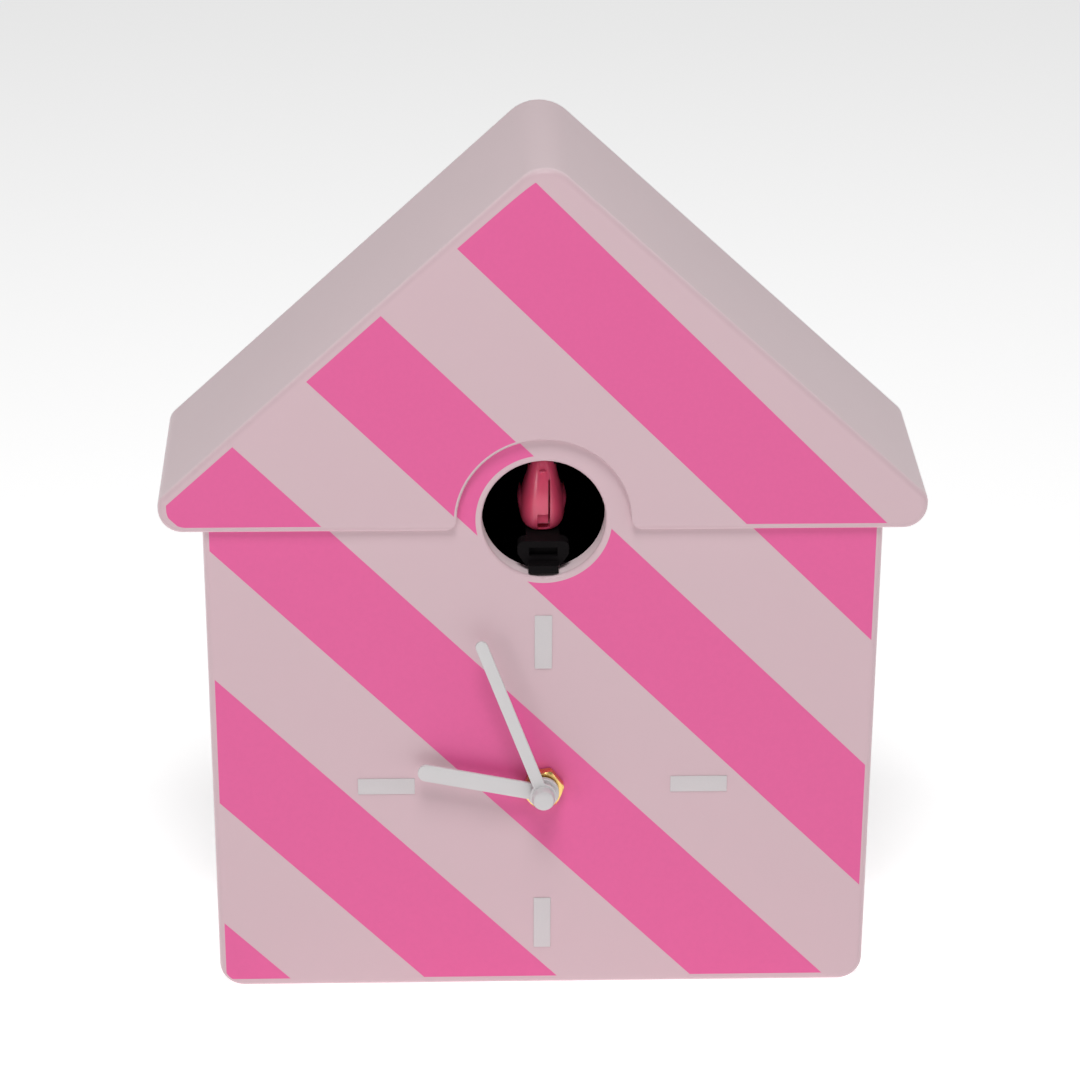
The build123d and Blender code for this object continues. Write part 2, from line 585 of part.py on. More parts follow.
def wheel(place, gear, gear_phase, gear_layer, pinion, pinion_phase, pinion_layer):
    """Wheel and pinion on one arbor that runs from the case floor to the bridge."""
    x, z = place
    body_part = rod_y(x, z, ARBOR_R, CASE_IN + 0.4, PIVOT_END)
    body_part += gear_y(x, z, *gear, gear_phase, *gear_layer)
    if pinion:
        body_part += gear_y(x, z, *pinion, pinion_phase, pinion_layer[0], gear_layer[0])
    return body_part


motion_wheel = wheel(motion, MOTION_WHEEL, facing(MOTION_WHEEL, MOTION_AT + 180), layer["motion"],
                     MOTION_PINION, MOTION_AT + 180, layer["hour"])
keep("motion_wheel", motion_wheel)
centre_wheel = gear_y(0, DIAL_Z, *CENTRE_WHEEL, facing(CENTRE_WHEEL, THIRD_AT), *layer["centre"])
centre_wheel -= rod_y(0, DIAL_Z, CENTRE_R + RUN_FIT, 0, 20)
keep("centre_wheel", centre_wheel)
keep("third_wheel", wheel(third, THIRD_WHEEL, facing(THIRD_WHEEL, SECONDS_AT), layer["third"],
                          THIRD_PINION, THIRD_AT + 180, layer["centre"]))
keep("seconds_wheel", wheel(seconds, SECONDS_WHEEL, facing(SECONDS_WHEEL, STEP_AT), layer["seconds"],
                            SECONDS_PINION, SECONDS_AT + 180, layer["third"]))
keep("step_wheel", wheel(stepper, STEP_WHEEL, facing(STEP_WHEEL, ROTOR_AT), layer["step"],
                         STEP_PINION, STEP_AT + 180, layer["seconds"]))
MAGNET_R = 2.4
MAGNET = (FLOOR + 4.4, FLOOR + 7.4)
rotor = wheel(rotor_at, ROTOR_PINION, ROTOR_AT + 180, layer["step"], None, 0, None)
rotor += rod_y(rotor_at[0], rotor_at[1], MAGNET_R, *MAGNET)
keep("rotor", rotor)

knob_x, knob_z = knob
knob_shape = rod_y(knob_x, knob_z, ARBOR_R, CASE_IN + 0.4, layer["motion"][0])
knob_motion_angle = KNOB_AT + 180
motion_tooth = facing(MOTION_WHEEL, MOTION_AT + 180)
offset_steps = (KNOB_AT - motion_tooth) / (360 / MOTION_WHEEL[0])
slip = (offset_steps - round(offset_steps)) * (360 / MOTION_WHEEL[0])
knob_phase = facing(KNOB_PINION, knob_motion_angle) + slip * MOTION_WHEEL[0] / KNOB_PINION[0]
knob_shape += gear_y(knob_x, knob_z, *KNOB_PINION, knob_phase, *layer["motion"])
knob_shape += rod_y(knob_x, knob_z, KNOB_SHAFT_R, layer["motion"][1], CASE_BACK + 1.0)
thumb = rod_y(knob_x, knob_z, KNOB_R, CASE_BACK + 0.6, CASE_BACK + 4.0)
for i in range(KNOB_GROOVES):
    groove_x, groove_z = around(KNOB_R + 0.2, i * 360 / KNOB_GROOVES, knob)
    thumb -= rod_y(groove_x, groove_z, 0.8, CASE_BACK, CASE_BACK + 5)
knob_shape += thumb
keep("setting_knob", knob_shape)

bridge_sketch = Pos(-7, DIAL_Z + 8.0) * Rectangle(35, 35)
bridge_sketch += Pos(13, DIAL_Z + 4.5) * Rectangle(7, 9)
bridge = plate_y(bridge_sketch, BRIDGE_FRONT, BRIDGE_BACK)
for x, z in (third, seconds, stepper, rotor_at, motion):
    bridge -= rod_y(x, z, ARBOR_R + RUN_FIT, BRIDGE_FRONT - 1, BRIDGE_BACK + 1)
bridge -= rod_y(0, DIAL_Z, CENTRE_R + RUN_FIT, BRIDGE_FRONT - 1, BRIDGE_BACK + 1)
for x, z in ((-22, DIAL_Z + 23), (-22, DIAL_Z - 7)):
    bridge += rod_y(x, z, 1.6, FLOOR, BRIDGE_FRONT)
keep("train_bridge", bridge)

STATOR = (FLOOR + 5.4, FLOOR + 6.4)
coil_z = rotor_at[1] + 3.4
stator = rod_y(rotor_at[0], rotor_at[1], 4.6, *STATOR)
stator += limits(rotor_at[0], CASE_HALF - CASE_WALL - 0.3, *STATOR, coil_z - 1.2, coil_z + 1.2)
stator -= rod_y(rotor_at[0], rotor_at[1], MAGNET_R + 0.4, 0, 20)
keep("stator", stator)
coil_d = (STATOR[0] + STATOR[1]) / 2
coil = rod_x(coil_d, coil_z, 3.6, rotor_at[0] + 6, CASE_HALF - CASE_WALL - 2)
for end in (rotor_at[0] + 6, CASE_HALF - CASE_WALL - 2.8):
    coil += rod_x(coil_d, coil_z, 4.2, end, end + 0.8)
coil -= limits(rotor_at[0], CASE_HALF, *STATOR, coil_z - 1.2, coil_z + 1.2)
keep("coil", coil)
keep("movement_board", limits(17.2, CASE_HALF - CASE_WALL - 0.3, BRIDGE_FRONT, BRIDGE_BACK,
                              DIAL_Z + 2, DIAL_Z + CASE_HALF - CASE_WALL - 0.5))


def aa_cell(x, d, z, direction):
    """Round cell along X with a raised tip at one end."""
    cell = rod_x(d, z, AA_R, x - AA_LENGTH / 2, x + AA_LENGTH / 2 - AA_TIP)
    cell = fillet(cell.edges(), 0.6)
    cell += rod_x(d, z, AA_TIP_R, x + AA_LENGTH / 2 - AA_TIP - 0.5, x + AA_LENGTH / 2)
    if direction < 0:
        cell = mirror(cell, about=Plane(origin=(x, 0, 0), x_dir=(0, 1, 0), z_dir=(1, 0, 0)))
    return cell


CELL_D = FLOOR + AA_R + 0.3
keep("movement_cell", aa_cell(0, CELL_D, CELL_Z, 1))


def contact_pair(x, d, z, half_gap, wall_gap, height):
    """Two spring-steel tabs that press on a cell's ends."""
    tabs = []
    for side in (-1, 1):
        inner = side * (half_gap + 0.05)
        outer = side * (half_gap + wall_gap)
        low, high = sorted((x + inner, x + outer))
        tabs.append(limits(low, high, d - 4, d + 4, z - height, z + height))
    return tabs


case_gap = CASE_HALF - CASE_WALL - AA_LENGTH / 2
case_tabs = contact_pair(0, CELL_D, CELL_Z, AA_LENGTH / 2, case_gap, CONTACT_HALF)
keep("movement_contacts", Compound(children=case_tabs))

# ---- Bird chassis and drive ----
ROD_Z = HOLE_Z - HOLE_R - COLLAR_WALL - ROD_CLEAR
RACK_LINE = ROD_Z - RACK_DROP
PINION_R = PINION_TEETH * RACK_MODULE / 2
PINION_Z = RACK_LINE - PINION_R
DRIVE_R = DRIVE_TEETH * DRIVE_MODULE / 2
MOTOR_R_PITCH = MOTOR_TEETH * DRIVE_MODULE / 2
CHASSIS_FLOOR = PINION_Z - DRIVE_R - 2.0 - CHASSIS_WALL
CHASSIS_FRONT = COLLAR_DEPTH - 2.4
CHASSIS_BACK = COVER_IN - 0.6
ARM_LOW = HOLE_Z - math.sqrt(HOLE_R ** 2 - ARM_HALF_WIDTH ** 2) + ARM_CLEAR
BLOCK_FRONT = COLLAR_DEPTH + 0.6 + TRAVEL

chassis = limits(-CHASSIS_HALF_WIDTH, CHASSIS_HALF_WIDTH, CHASSIS_FRONT, CHASSIS_BACK,
                 CHASSIS_FLOOR, CHASSIS_FLOOR + CHASSIS_WALL)
wall_top = ROD_Z + 4.0
ear_low = CHASSIS_FLOOR + EAR_LOW
ear_high = CHASSIS_FLOOR + EAR_HIGH
for d0 in (CHASSIS_FRONT, CHASSIS_BACK - CHASSIS_WALL):
    chassis += limits(-CHASSIS_HALF_WIDTH, CHASSIS_HALF_WIDTH, d0, d0 + CHASSIS_WALL,
                      CHASSIS_FLOOR, wall_top)
for side in (-1, 1):
    x0, x1 = sorted((side * CHASSIS_HALF_WIDTH, side * (CHASSIS_HALF_WIDTH - CHASSIS_WALL)))
    chassis += limits(x0, x1, CHASSIS_FRONT, CHASSIS_BACK, CHASSIS_FLOOR, wall_top)
    ear0, ear1 = sorted((side * CHASSIS_HALF_WIDTH, side * (CHASSIS_HALF_WIDTH + EAR_WIDTH)))
    chassis += limits(ear0, ear1, BODY_WALL, BODY_WALL + CHASSIS_WALL, ear_low, ear_high)
    chassis += limits(x0, x1, BODY_WALL, CHASSIS_FRONT + 1, ear_low, ear_high)
for x in (-ROD_X, ROD_X):
    chassis -= rod_y(x, ROD_Z, ROD_R + 0.02, CHASSIS_FRONT - 1, CHASSIS_BACK - 0.6)
for d0 in (CHASSIS_FRONT, CHASSIS_BACK - CHASSIS_WALL):
    chassis -= limits(-RACK_SLOT, RACK_SLOT, d0 - 1, d0 + CHASSIS_WALL + 1, RACK_LINE - 2, ROD_Z)
chassis -= rod_x(PINION_DEPTH, PINION_Z, SHAFT_R + RUN_FIT, -CHASSIS_HALF_WIDTH - 1, CHASSIS_HALF_WIDTH + 1)
MOTOR_D = PINION_DEPTH + DRIVE_R + MOTOR_R_PITCH
chassis -= rod_x(MOTOR_D, PINION_Z, 3.2, CHASSIS_HALF_WIDTH - CHASSIS_WALL - 1, CHASSIS_HALF_WIDTH + 1)
EAR_PLACES = [(side * (CHASSIS_HALF_WIDTH + EAR_WIDTH / 2), z)
              for side in (-1, 1) for z in (ear_low + EAR_SCREW_INSET, ear_high - EAR_SCREW_INSET)]
for x, z in EAR_PLACES:
    chassis -= rod_y(x, z, 1.25, BODY_WALL - 1, BODY_WALL + CHASSIS_WALL + 1)
keep("cuckoo_chassis", chassis)
hood_top = HOLE_Z + HOLE_R + HOOD_CLEAR
hood_front = COLLAR_DEPTH + HOOD_WALL / 2
hood = limits(-CHASSIS_HALF_WIDTH, CHASSIS_HALF_WIDTH, hood_front, CHASSIS_BACK, wall_top, hood_top)
hood -= limits(-CHASSIS_HALF_WIDTH + HOOD_WALL, CHASSIS_HALF_WIDTH - HOOD_WALL, hood_front - 1,
               CHASSIS_BACK - HOOD_WALL, wall_top - 1, hood_top - HOOD_WALL)
keep("bird_hood", hood)
ear_screws = [screw(x, z, BODY_WALL + CHASSIS_WALL, CHASSIS_WALL - 0.05, 1.2, 2.2, 1.4)
              for x, z in EAR_PLACES]
keep("chassis_screws", Compound(children=ear_screws))
rods = [rod_y(x, ROD_Z, ROD_R, CHASSIS_FRONT + 0.1, CHASSIS_BACK - 0.7) for x in (-ROD_X, ROD_X)]
keep("guide_rods", Compound(children=rods))

BLOCK_BACK = BLOCK_FRONT + BLOCK_LENGTH
RACK_FRONT = PINION_DEPTH - 4.0
RACK_BACK = CHASSIS_BACK - 0.9
rack_root = RACK_LINE + TOOTH_ROOT * RACK_MODULE
rack_tip = RACK_LINE - TOOTH_TIP * RACK_MODULE
carriage = limits(-BLOCK_HALF_WIDTH, BLOCK_HALF_WIDTH, BLOCK_FRONT, BLOCK_BACK,
                  ROD_Z - BLOCK_HALF_HEIGHT, ROD_Z + BLOCK_HALF_HEIGHT)
carriage += limits(-3.5, 3.5, BLOCK_FRONT + 0.5, BLOCK_FRONT + 8, ROD_Z, ARM_LOW + 1)
arm = limits(-ARM_HALF_WIDTH, ARM_HALF_WIDTH, 0.3, BLOCK_FRONT + 8, ARM_LOW, ARM_LOW + ARM_THICKNESS)
carriage += fillet(arm.edges().filter_by(Axis.Z).sort_by(Axis.Y)[:2], TAB_EDGE_R)
saddle_low = ARM_LOW + 1.0
saddle = limits(-SADDLE_HALF_WIDTH, SADDLE_HALF_WIDTH, SADDLE_FRONT, SADDLE_BACK, saddle_low, BIRD_FOOT)
carriage += fillet(saddle.edges().filter_by(Axis.Y).sort_by(Axis.Z)[-2:], SADDLE_EDGE_R)
carriage -= limits(-4.2, 4.2, SADDLE_FRONT - 1, SADDLE_FRONT + 2.4, ARM_LOW + ARM_THICKNESS + 1.6,
                   BIRD_FOOT - 2.0)
carriage += limits(-5.0, 5.0, SADDLE_BACK, BIRD_FRONT + BIRD_LENGTH, ARM_LOW + 1, BIRD_FOOT - 0.05)
carriage += limits(-RACK_HALF_WIDTH, RACK_HALF_WIDTH, RACK_FRONT, RACK_BACK, rack_root, rack_root + 3.5)
carriage += limits(-RACK_HALF_WIDTH, RACK_HALF_WIDTH, BLOCK_FRONT, BLOCK_BACK, rack_root, ROD_Z)
tooth_pitch = math.pi * RACK_MODULE
first_tooth = PINION_DEPTH - tooth_pitch
tooth_count = int((RACK_BACK - 1.0 - first_tooth) / tooth_pitch) + 1
for i in range(tooth_count):
    at = first_tooth + i * tooth_pitch
    half_root = ROOT_SHARE * tooth_pitch
    half_tip = TIP_SHARE * tooth_pitch
    tooth_points = [(at - half_root, rack_root + 0.05), (at - half_tip, rack_tip),
                    (at + half_tip, rack_tip), (at + half_root, rack_root + 0.05)]
    tooth_side = Plane(origin=(-RACK_HALF_WIDTH, FRONT, 0), x_dir=(0, 1, 0), z_dir=(1, 0, 0))
    carriage += extrude(tooth_side * make_face(Polyline(tooth_points, close=True)), 2 * RACK_HALF_WIDTH)
for x in (-ROD_X, ROD_X):
    carriage -= rod_y(x, ROD_Z, ROD_R + RUN_FIT, BLOCK_FRONT - 1, BLOCK_BACK + 1)
keep("bird_carriage", carriage)

drive = rod_x(PINION_DEPTH, PINION_Z, SHAFT_R, -CHASSIS_HALF_WIDTH + 0.1, CHASSIS_HALF_WIDTH - 0.1)
drive += gear_x(PINION_DEPTH, PINION_Z, PINION_TEETH, RACK_MODULE, 90 + 180 / PINION_TEETH, -3.4, 3.4)
drive += gear_x(PINION_DEPTH, PINION_Z, DRIVE_TEETH, DRIVE_MODULE, 0, DRIVE_X, DRIVE_X + GEAR_WIDTH)
keep("drive_gear", drive)
motor_gear = gear_x(MOTOR_D, PINION_Z, MOTOR_TEETH, DRIVE_MODULE, 180 + 180 / MOTOR_TEETH,
                    DRIVE_X - 0.3, DRIVE_X + GEAR_WIDTH + 0.3)
motor_gear += rod_x(MOTOR_D, PINION_Z, MOTOR_SHAFT_R, DRIVE_X - 0.3, CHASSIS_HALF_WIDTH + 4)
keep("motor_gear", motor_gear)
motor = rod_x(MOTOR_D, PINION_Z, MOTOR_R, CHASSIS_HALF_WIDTH, CHASSIS_HALF_WIDTH + MOTOR_LENGTH)
motor &= limits(0, BODY_HALF, MOTOR_D - MOTOR_R, MOTOR_D + MOTOR_R,
                PINION_Z - MOTOR_HALF_HEIGHT, PINION_Z + MOTOR_HALF_HEIGHT)
motor += rod_x(MOTOR_D, PINION_Z, 3.0, CHASSIS_HALF_WIDTH - 1.5, CHASSIS_HALF_WIDTH)
motor += rod_x(MOTOR_D, PINION_Z, 2.5, CHASSIS_HALF_WIDTH + MOTOR_LENGTH,
               CHASSIS_HALF_WIDTH + MOTOR_LENGTH + 1.5)
motor -= rod_x(MOTOR_D, PINION_Z, MOTOR_SHAFT_R + RUN_FIT, 0, CHASSIS_HALF_WIDTH + 4.2)
keep("cuckoo_motor", motor)

# ---- Bird ----
bird_mid = BIRD_FRONT + BIRD_LENGTH * 0.5


def ellipsoid(x, d, z, rx, rd, rz):
    """Ellipsoid from its centre and half sizes."""
    ball = Sphere(1.0)
    return Pos(x, FRONT + d, z) * scale(ball, by=(rx, rd, rz))


belly = ellipsoid(0, bird_mid, BIRD_FOOT + BIRD_HEIGHT * BELLY_RISE, BIRD_WIDTH / 2 - 0.9,
                  BIRD_LENGTH / 2, BIRD_HEIGHT * BELLY_HALF)
head = ellipsoid(0, BIRD_FRONT + 6.4, BIRD_FOOT + BIRD_HEIGHT * HEAD_RISE, HEAD_R, HEAD_R + 0.2,
                 BIRD_HEIGHT * HEAD_HALF)
figure = belly + head
figure -= limits(-20, 20, 0, 60, BIRD_FOOT - 20, BIRD_FOOT)
seam_left = BIRD_SEAM_X - BIRD_SEAM_GAP / 2
seam_right = BIRD_SEAM_X + BIRD_SEAM_GAP / 2
keep("bird_left", figure & limits(-BIRD_WIDTH, seam_left, 0, 60, BIRD_FOOT, BIRD_FOOT + 40))
keep("bird_right", figure & limits(seam_right, BIRD_WIDTH, 0, 60, BIRD_FOOT, BIRD_FOOT + 40))
beak = ellipsoid(0, BIRD_FRONT + 0.2, BIRD_FOOT + BIRD_HEIGHT * BEAK_RISE, 1.6, 3.0, 2.4)
beak -= figure
beak = beak & limits(-5, 5, BIRD_FRONT - 4, BIRD_FRONT + 4, BIRD_FOOT, BIRD_FOOT + 40)
beak = sorted(beak.solids(), key=lambda s: s.volume)[-1]
keep("bird_beak", beak)
wing = ellipsoid(BIRD_WIDTH / 2 - WING_THICKNESS, bird_mid + 1.5, BIRD_FOOT + BIRD_HEIGHT * WING_RISE,
                 WING_THICKNESS, BIRD_LENGTH * 0.36, BIRD_HEIGHT * WING_HALF)
wing -= figure
wing = sorted(wing.solids(), key=lambda s: s.volume)[-1]
keep("bird_wings", Compound(children=[wing, mirror(wing, about=Plane.YZ)]))
tail = limits(-3.4, 3.4, BIRD_FRONT + BIRD_LENGTH - 3.5, BIRD_FRONT + BIRD_LENGTH + 7, BIRD_FOOT + 4.2,
              BIRD_FOOT + 6.4)
tail -= figure
keep("bird_tail", sorted(tail.solids(), key=lambda s: s.volume)[-1])

# ---- Speaker, on the rear cover ----
SPEAKER_BACK = COVER_IN
POT_FRONT = SPEAKER_BACK - 7.0
basket = rod_y(SPEAKER_X, SPEAKER_Z, SPEAKER_R, SPEAKER_BACK - 2.0, SPEAKER_BACK)
basket += rod_y(SPEAKER_X, SPEAKER_Z, SPEAKER_POT_R, POT_FRONT, SPEAKER_BACK - 1.9)
basket -= rod_y(SPEAKER_X, SPEAKER_Z, SPEAKER_R - 2.0, SPEAKER_BACK - 1.2, SPEAKER_BACK + 1)
basket -= rod_y(SPEAKER_X, SPEAKER_Z, SPEAKER_POT_R - 1.2, SPEAKER_BACK - 5.8, SPEAKER_BACK + 1)
keep("speaker_basket", basket)
cone_face = SPEAKER_BACK - 1.2
cone = Cone(SPEAKER_POT_R - 1.5, 5.0, 4.0)
cone = Pos(SPEAKER_X, FRONT + cone_face - 2.0, SPEAKER_Z) * Rot(90, 0, 0) * cone
cone_inner = Cone(SPEAKER_POT_R - 2.3, 4.4, 4.0)
cone -= Pos(SPEAKER_X, FRONT + cone_face - 1.5, SPEAKER_Z) * Rot(90, 0, 0) * cone_inner
keep("speaker_cone", sorted(cone.solids(), key=lambda s: s.volume)[-1])
keep("speaker_magnet", rod_y(SPEAKER_X, SPEAKER_Z, MAGNET_BLOCK_R, POT_FRONT - MAGNET_BLOCK, POT_FRONT))

# ---- Sound board and controls ----
board = limits(BOARD_X - BOARD_WIDTH / 2, BOARD_X + BOARD_WIDTH / 2, BOARD_FRONT, BOARD_BACK,
               BOARD_Z - BOARD_HEIGHT / 2, BOARD_Z + BOARD_HEIGHT / 2)
for x, z in board_posts:
    board -= rod_y(x, z, 1.1, BOARD_FRONT - 1, BOARD_BACK + 1)
keep("sound_board", board)
keep("sound_chip", limits(BOARD_X - 5, BOARD_X + 5, BOARD_FRONT - 2.0, BOARD_FRONT,
                          BOARD_Z - 10, BOARD_Z - 3))
board_screws = []
for x, z in board_posts:
    shank = rod_y(x, z, 0.9, BOARD_FRONT, BOARD_BACK + 5)
    board_screws.append(shank + rod_y(x, z, 2.0, BOARD_FRONT - 1.4, BOARD_FRONT))
keep("board_screws", Compound(children=board_screws))

switch_box = limits(SWITCH_X - 8, SWITCH_X + 8, BOARD_BACK, BOARD_BACK + 5, CONTROL_Z - 4, CONTROL_Z + 4)
slide_half = SLIDER_HALF + SWITCH_TRAVEL
switch_box -= limits(SWITCH_X - slide_half - 0.3, SWITCH_X + slide_half + 0.3,
                     BOARD_BACK + 1, BOARD_BACK + 6, CONTROL_Z - 2.3, CONTROL_Z + 2.3)
keep("switch_housing", switch_box)
slider = limits(SWITCH_X - SLIDER_HALF, SWITCH_X + SLIDER_HALF, BOARD_BACK + 1.2, COVER_OUT + 1.4,
                CONTROL_Z - 2.0, CONTROL_Z + 2.0)
keep("mode_slider", slider)
button_box = limits(BUTTON_X - 3.2, BUTTON_X + 3.2, BOARD_BACK, BOARD_BACK + 3,
                    CONTROL_Z - 3.2, CONTROL_Z + 3.2)
keep("button_base", button_box)
button = rod_y(BUTTON_X, CONTROL_Z, BUTTON_R, COVER_IN - 1.0, COVER_OUT + 1.6)
button = fillet(button.edges().sort_by(Axis.Y)[-1], 0.5)
button += rod_y(BUTTON_X, CONTROL_Z, 1.2, BOARD_BACK + 3 + BUTTON_TRAVEL + 0.2, COVER_IN - 0.9)
keep("test_button", button)
pot = rod_y(KNOB_X, CONTROL_Z, 4.6, BOARD_BACK, BOARD_BACK + 4)
pot -= rod_y(KNOB_X, CONTROL_Z, VOLUME_SHAFT_R + RUN_FIT, BOARD_BACK + 1, BOARD_BACK + 6)
keep("volume_pot", pot)
volume = rod_y(KNOB_X, CONTROL_Z, VOLUME_R, COVER_IN - 1.5, COVER_OUT + 1.6)
for i in range(VOLUME_GROOVES):
    groove_x, groove_z = around(VOLUME_R + 0.25, i * 360 / VOLUME_GROOVES, (KNOB_X, CONTROL_Z))
    volume -= rod_y(groove_x, groove_z, 0.6, COVER_IN - 2, COVER_OUT + 3)
volume -= limits(KNOB_X - 0.5, KNOB_X + 0.5, COVER_OUT + 0.8, COVER_OUT + 3,
                 CONTROL_Z, CONTROL_Z + VOLUME_R + 1)
volume += rod_y(KNOB_X, CONTROL_Z, VOLUME_SHAFT_R, BOARD_BACK + 1.2, COVER_IN - 1.4)
keep("volume_knob", volume)

# ---- Battery tray for the bird's drive ----
cell_pitch = 2 * AA_R + CELL_GAP
tray_half = AA_LENGTH / 2 + CONTACT_ROOM + TRAY_WALL
tray_top = TRAY_BOTTOM + 2 * TRAY_WALL + 2 * cell_pitch
TRAY_BACK = COVER_IN - 2.2
TRAY_FRONT = TRAY_BACK - 2 * AA_R - 0.6 - TRAY_WALL
tray = limits(-tray_half, tray_half, TRAY_FRONT, TRAY_BACK, TRAY_BOTTOM, tray_top)
tray -= limits(-tray_half + TRAY_WALL, tray_half - TRAY_WALL, TRAY_FRONT + TRAY_WALL, TRAY_BACK + 1,
               TRAY_BOTTOM + TRAY_WALL, tray_top - TRAY_WALL)
tray += limits(-tray_half, tray_half, BODY_WALL, TRAY_FRONT + 0.5, TRAY_BOTTOM, TRAY_BOTTOM + TRAY_WALL)
tray += limits(-tray_half, tray_half, BODY_WALL, BODY_WALL + TRAY_WALL,
               TRAY_BOTTOM, TRAY_BOTTOM + TRAY_FLANGE)
keep("battery_tray", tray)
tray_cell_d = TRAY_FRONT + TRAY_WALL + 0.3 + AA_R
cell_rows = [TRAY_BOTTOM + TRAY_WALL + CELL_GAP / 2 + AA_R + i * cell_pitch for i in range(2)]
cells = [aa_cell(0, tray_cell_d, z, 1 if i else -1) for i, z in enumerate(cell_rows)]
keep("tray_cells", Compound(children=cells))
tabs = []
for z in cell_rows:
    tabs += contact_pair(0, tray_cell_d, z, AA_LENGTH / 2, CONTACT_ROOM, CONTACT_HALF)
keep("tray_contacts", Compound(children=tabs))
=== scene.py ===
import math

import bmesh
import bpy
from bpy.props import FloatProperty, FloatVectorProperty, IntProperty, PointerProperty
from mathutils import Matrix, Vector


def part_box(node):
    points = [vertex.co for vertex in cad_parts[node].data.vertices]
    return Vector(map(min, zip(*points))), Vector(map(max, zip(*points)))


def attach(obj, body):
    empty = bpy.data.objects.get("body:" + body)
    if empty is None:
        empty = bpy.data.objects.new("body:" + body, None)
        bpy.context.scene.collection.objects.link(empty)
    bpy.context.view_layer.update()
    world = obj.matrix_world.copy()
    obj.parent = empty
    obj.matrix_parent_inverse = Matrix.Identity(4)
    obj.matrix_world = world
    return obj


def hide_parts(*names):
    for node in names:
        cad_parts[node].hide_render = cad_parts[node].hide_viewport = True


bl_info = {
    "name": "Striped Cuckoo Clock",
    "version": (1, 0, 0),
    "blender": (4, 5, 0),
    "location": "3D View > Sidebar > Clock",
    "description": "Builds the looks of a striped cuckoo clock around its fixed mechanical parts",
    "category": "Object",
}

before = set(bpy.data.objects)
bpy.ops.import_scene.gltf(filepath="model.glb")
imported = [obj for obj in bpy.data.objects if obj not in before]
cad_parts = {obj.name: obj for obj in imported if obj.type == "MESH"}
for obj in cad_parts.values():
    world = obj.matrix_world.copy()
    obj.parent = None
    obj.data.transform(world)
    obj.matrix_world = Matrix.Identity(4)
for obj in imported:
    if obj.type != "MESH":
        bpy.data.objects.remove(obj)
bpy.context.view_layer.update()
MM = 0.001

# ---- Places read from the mechanical parts, in metres ----
NUT_LOW, NUT_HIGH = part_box("hex_nut")
DIAL_Z = (NUT_LOW.z + NUT_HIGH.z) / 2
FACE_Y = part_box("house_body")[0].y
ROOF_FACE_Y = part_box("roof_shell")[0].y
BIRD_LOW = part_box("bird_left")[0]
BIRD_FOOT_Z = BIRD_LOW.z

# ---- Fixed sizes of the mechanical parts that the finished pieces fit ----
DOORWAY_Z = 155.6 * MM
HOUR_HUB_R = 4.8 * MM
HOUR_BORE_R = 2.5 * MM
MINUTE_HUB_R = 4.1 * MM
MINUTE_BOSS_R = 3.0 * MM
MINUTE_BORE_R = 1.44 * MM
MOTOR_SHAFT_R = 1.06 * MM
MOTOR_BEARING_R = 3.0 * MM
CELL_TIP = 1.0 * MM

# Name, place, width in metres and share of the key light's power.
PANELS = (
    ("key_panel", (-0.05, -0.85, 1.65), 0.6, 1.0),
    ("left_panel", (-1.3, -1.5, 0.4), 0.6, 0.22),
    ("right_panel", (1.4, -0.8, 1.0), 0.6, 0.14),
)
LIGHTS_AIM = (0, 0, 0.13)


# ---- Sizes and colours that a user would change ----
def length(name, text, value):
    """A length property in metres, given in millimetres."""
    return FloatProperty(name=name, description=text, default=value * MM, subtype="DISTANCE", unit="LENGTH")


def colour(name, text, value):
    """A colour property with linear values."""
    return FloatVectorProperty(name=name, description=text, default=value, size=3, min=0, max=1,
                               subtype="COLOR")


class ClockPrint(bpy.types.PropertyGroup):
    """The diagonal stripes printed on the front faces."""

    slant: FloatProperty(name="Slant", description="Angle of the stripes' normal from the vertical",
                         default=math.radians(44.9), subtype="ANGLE", unit="ROTATION")
    period: length("Period", "Distance from one stripe to the next", 58.47)
    width: length("Width", "Width of a stripe", 29.16)
    first: length("First edge", "Distance of the first stripe's edge from the middle of the base", 180.64)
    softness: length("Softness", "Half width of the blur at a printed edge", 0.05)
    margin: length("Margin", "Unprinted border of the roof's front", 2.6)
    body_half: length("Body print", "Half width of the print on the body", 98.0)
    body_low: length("Body print foot", "Lowest height of the print on the body", 2.7)
    roof_half: length("Roof print", "Half width of the print on the roof", 109.9)
    roof_low: length("Roof print foot", "Lowest height of the print on the roof", 154.7)
    roof_corner: length("Roof print corner", "Rounding of the print's lower corners on the roof", 5.5)
    roof_apex: length("Roof print apex", "Height at which the roof print's sloping edges meet", 261.5)
    apex_round: length("Roof print point", "Rounding of the print under the ridge", 3.0)
    roof_rise: FloatProperty(name="Rise", description="Slope of the roof", default=0.908)
    hole_ring: length("Doorway ring", "Radius of the plain ring around the doorway", 20.05)
    arch_ring: length("Arch ring", "Radius of the plain edge of the roof's arch", 26.4)


class ClockColours(bpy.types.PropertyGroup):
    """Colours of the clock's materials."""

    shell: colour("Shell", "Pale ground of the front faces", (0.602, 0.434, 0.473))
    # Painted light: the sides, roof slopes and edges are the same plastic as the front's pale ground, given
    # a lighter copy of its colour for how the lamps light them.
    sides: colour("Sides", "Moulded plastic of the sides, roof slopes and edges", (0.900, 0.735, 0.765))
    stripe: colour("Stripe", "Printed stripes", (0.720, 0.103, 0.305))
    hands: colour("Hands", "Painted hands", (0.587, 0.574, 0.578))
    marks: colour("Marks", "Pearl bars of the dial", (0.552, 0.520, 0.529))
    bird: colour("Bird", "Moulded bird", (0.860, 0.090, 0.190))
    brass: colour("Brass", "Turned brass", (0.840, 0.600, 0.210))
    black: colour("Black", "Black moulded plastic", (0.006, 0.005, 0.0055))
    nylon: colour("Nylon", "Natural nylon gears", (0.780, 0.760, 0.690))
    board: colour("Board", "Circuit board lacquer", (0.015, 0.110, 0.050))


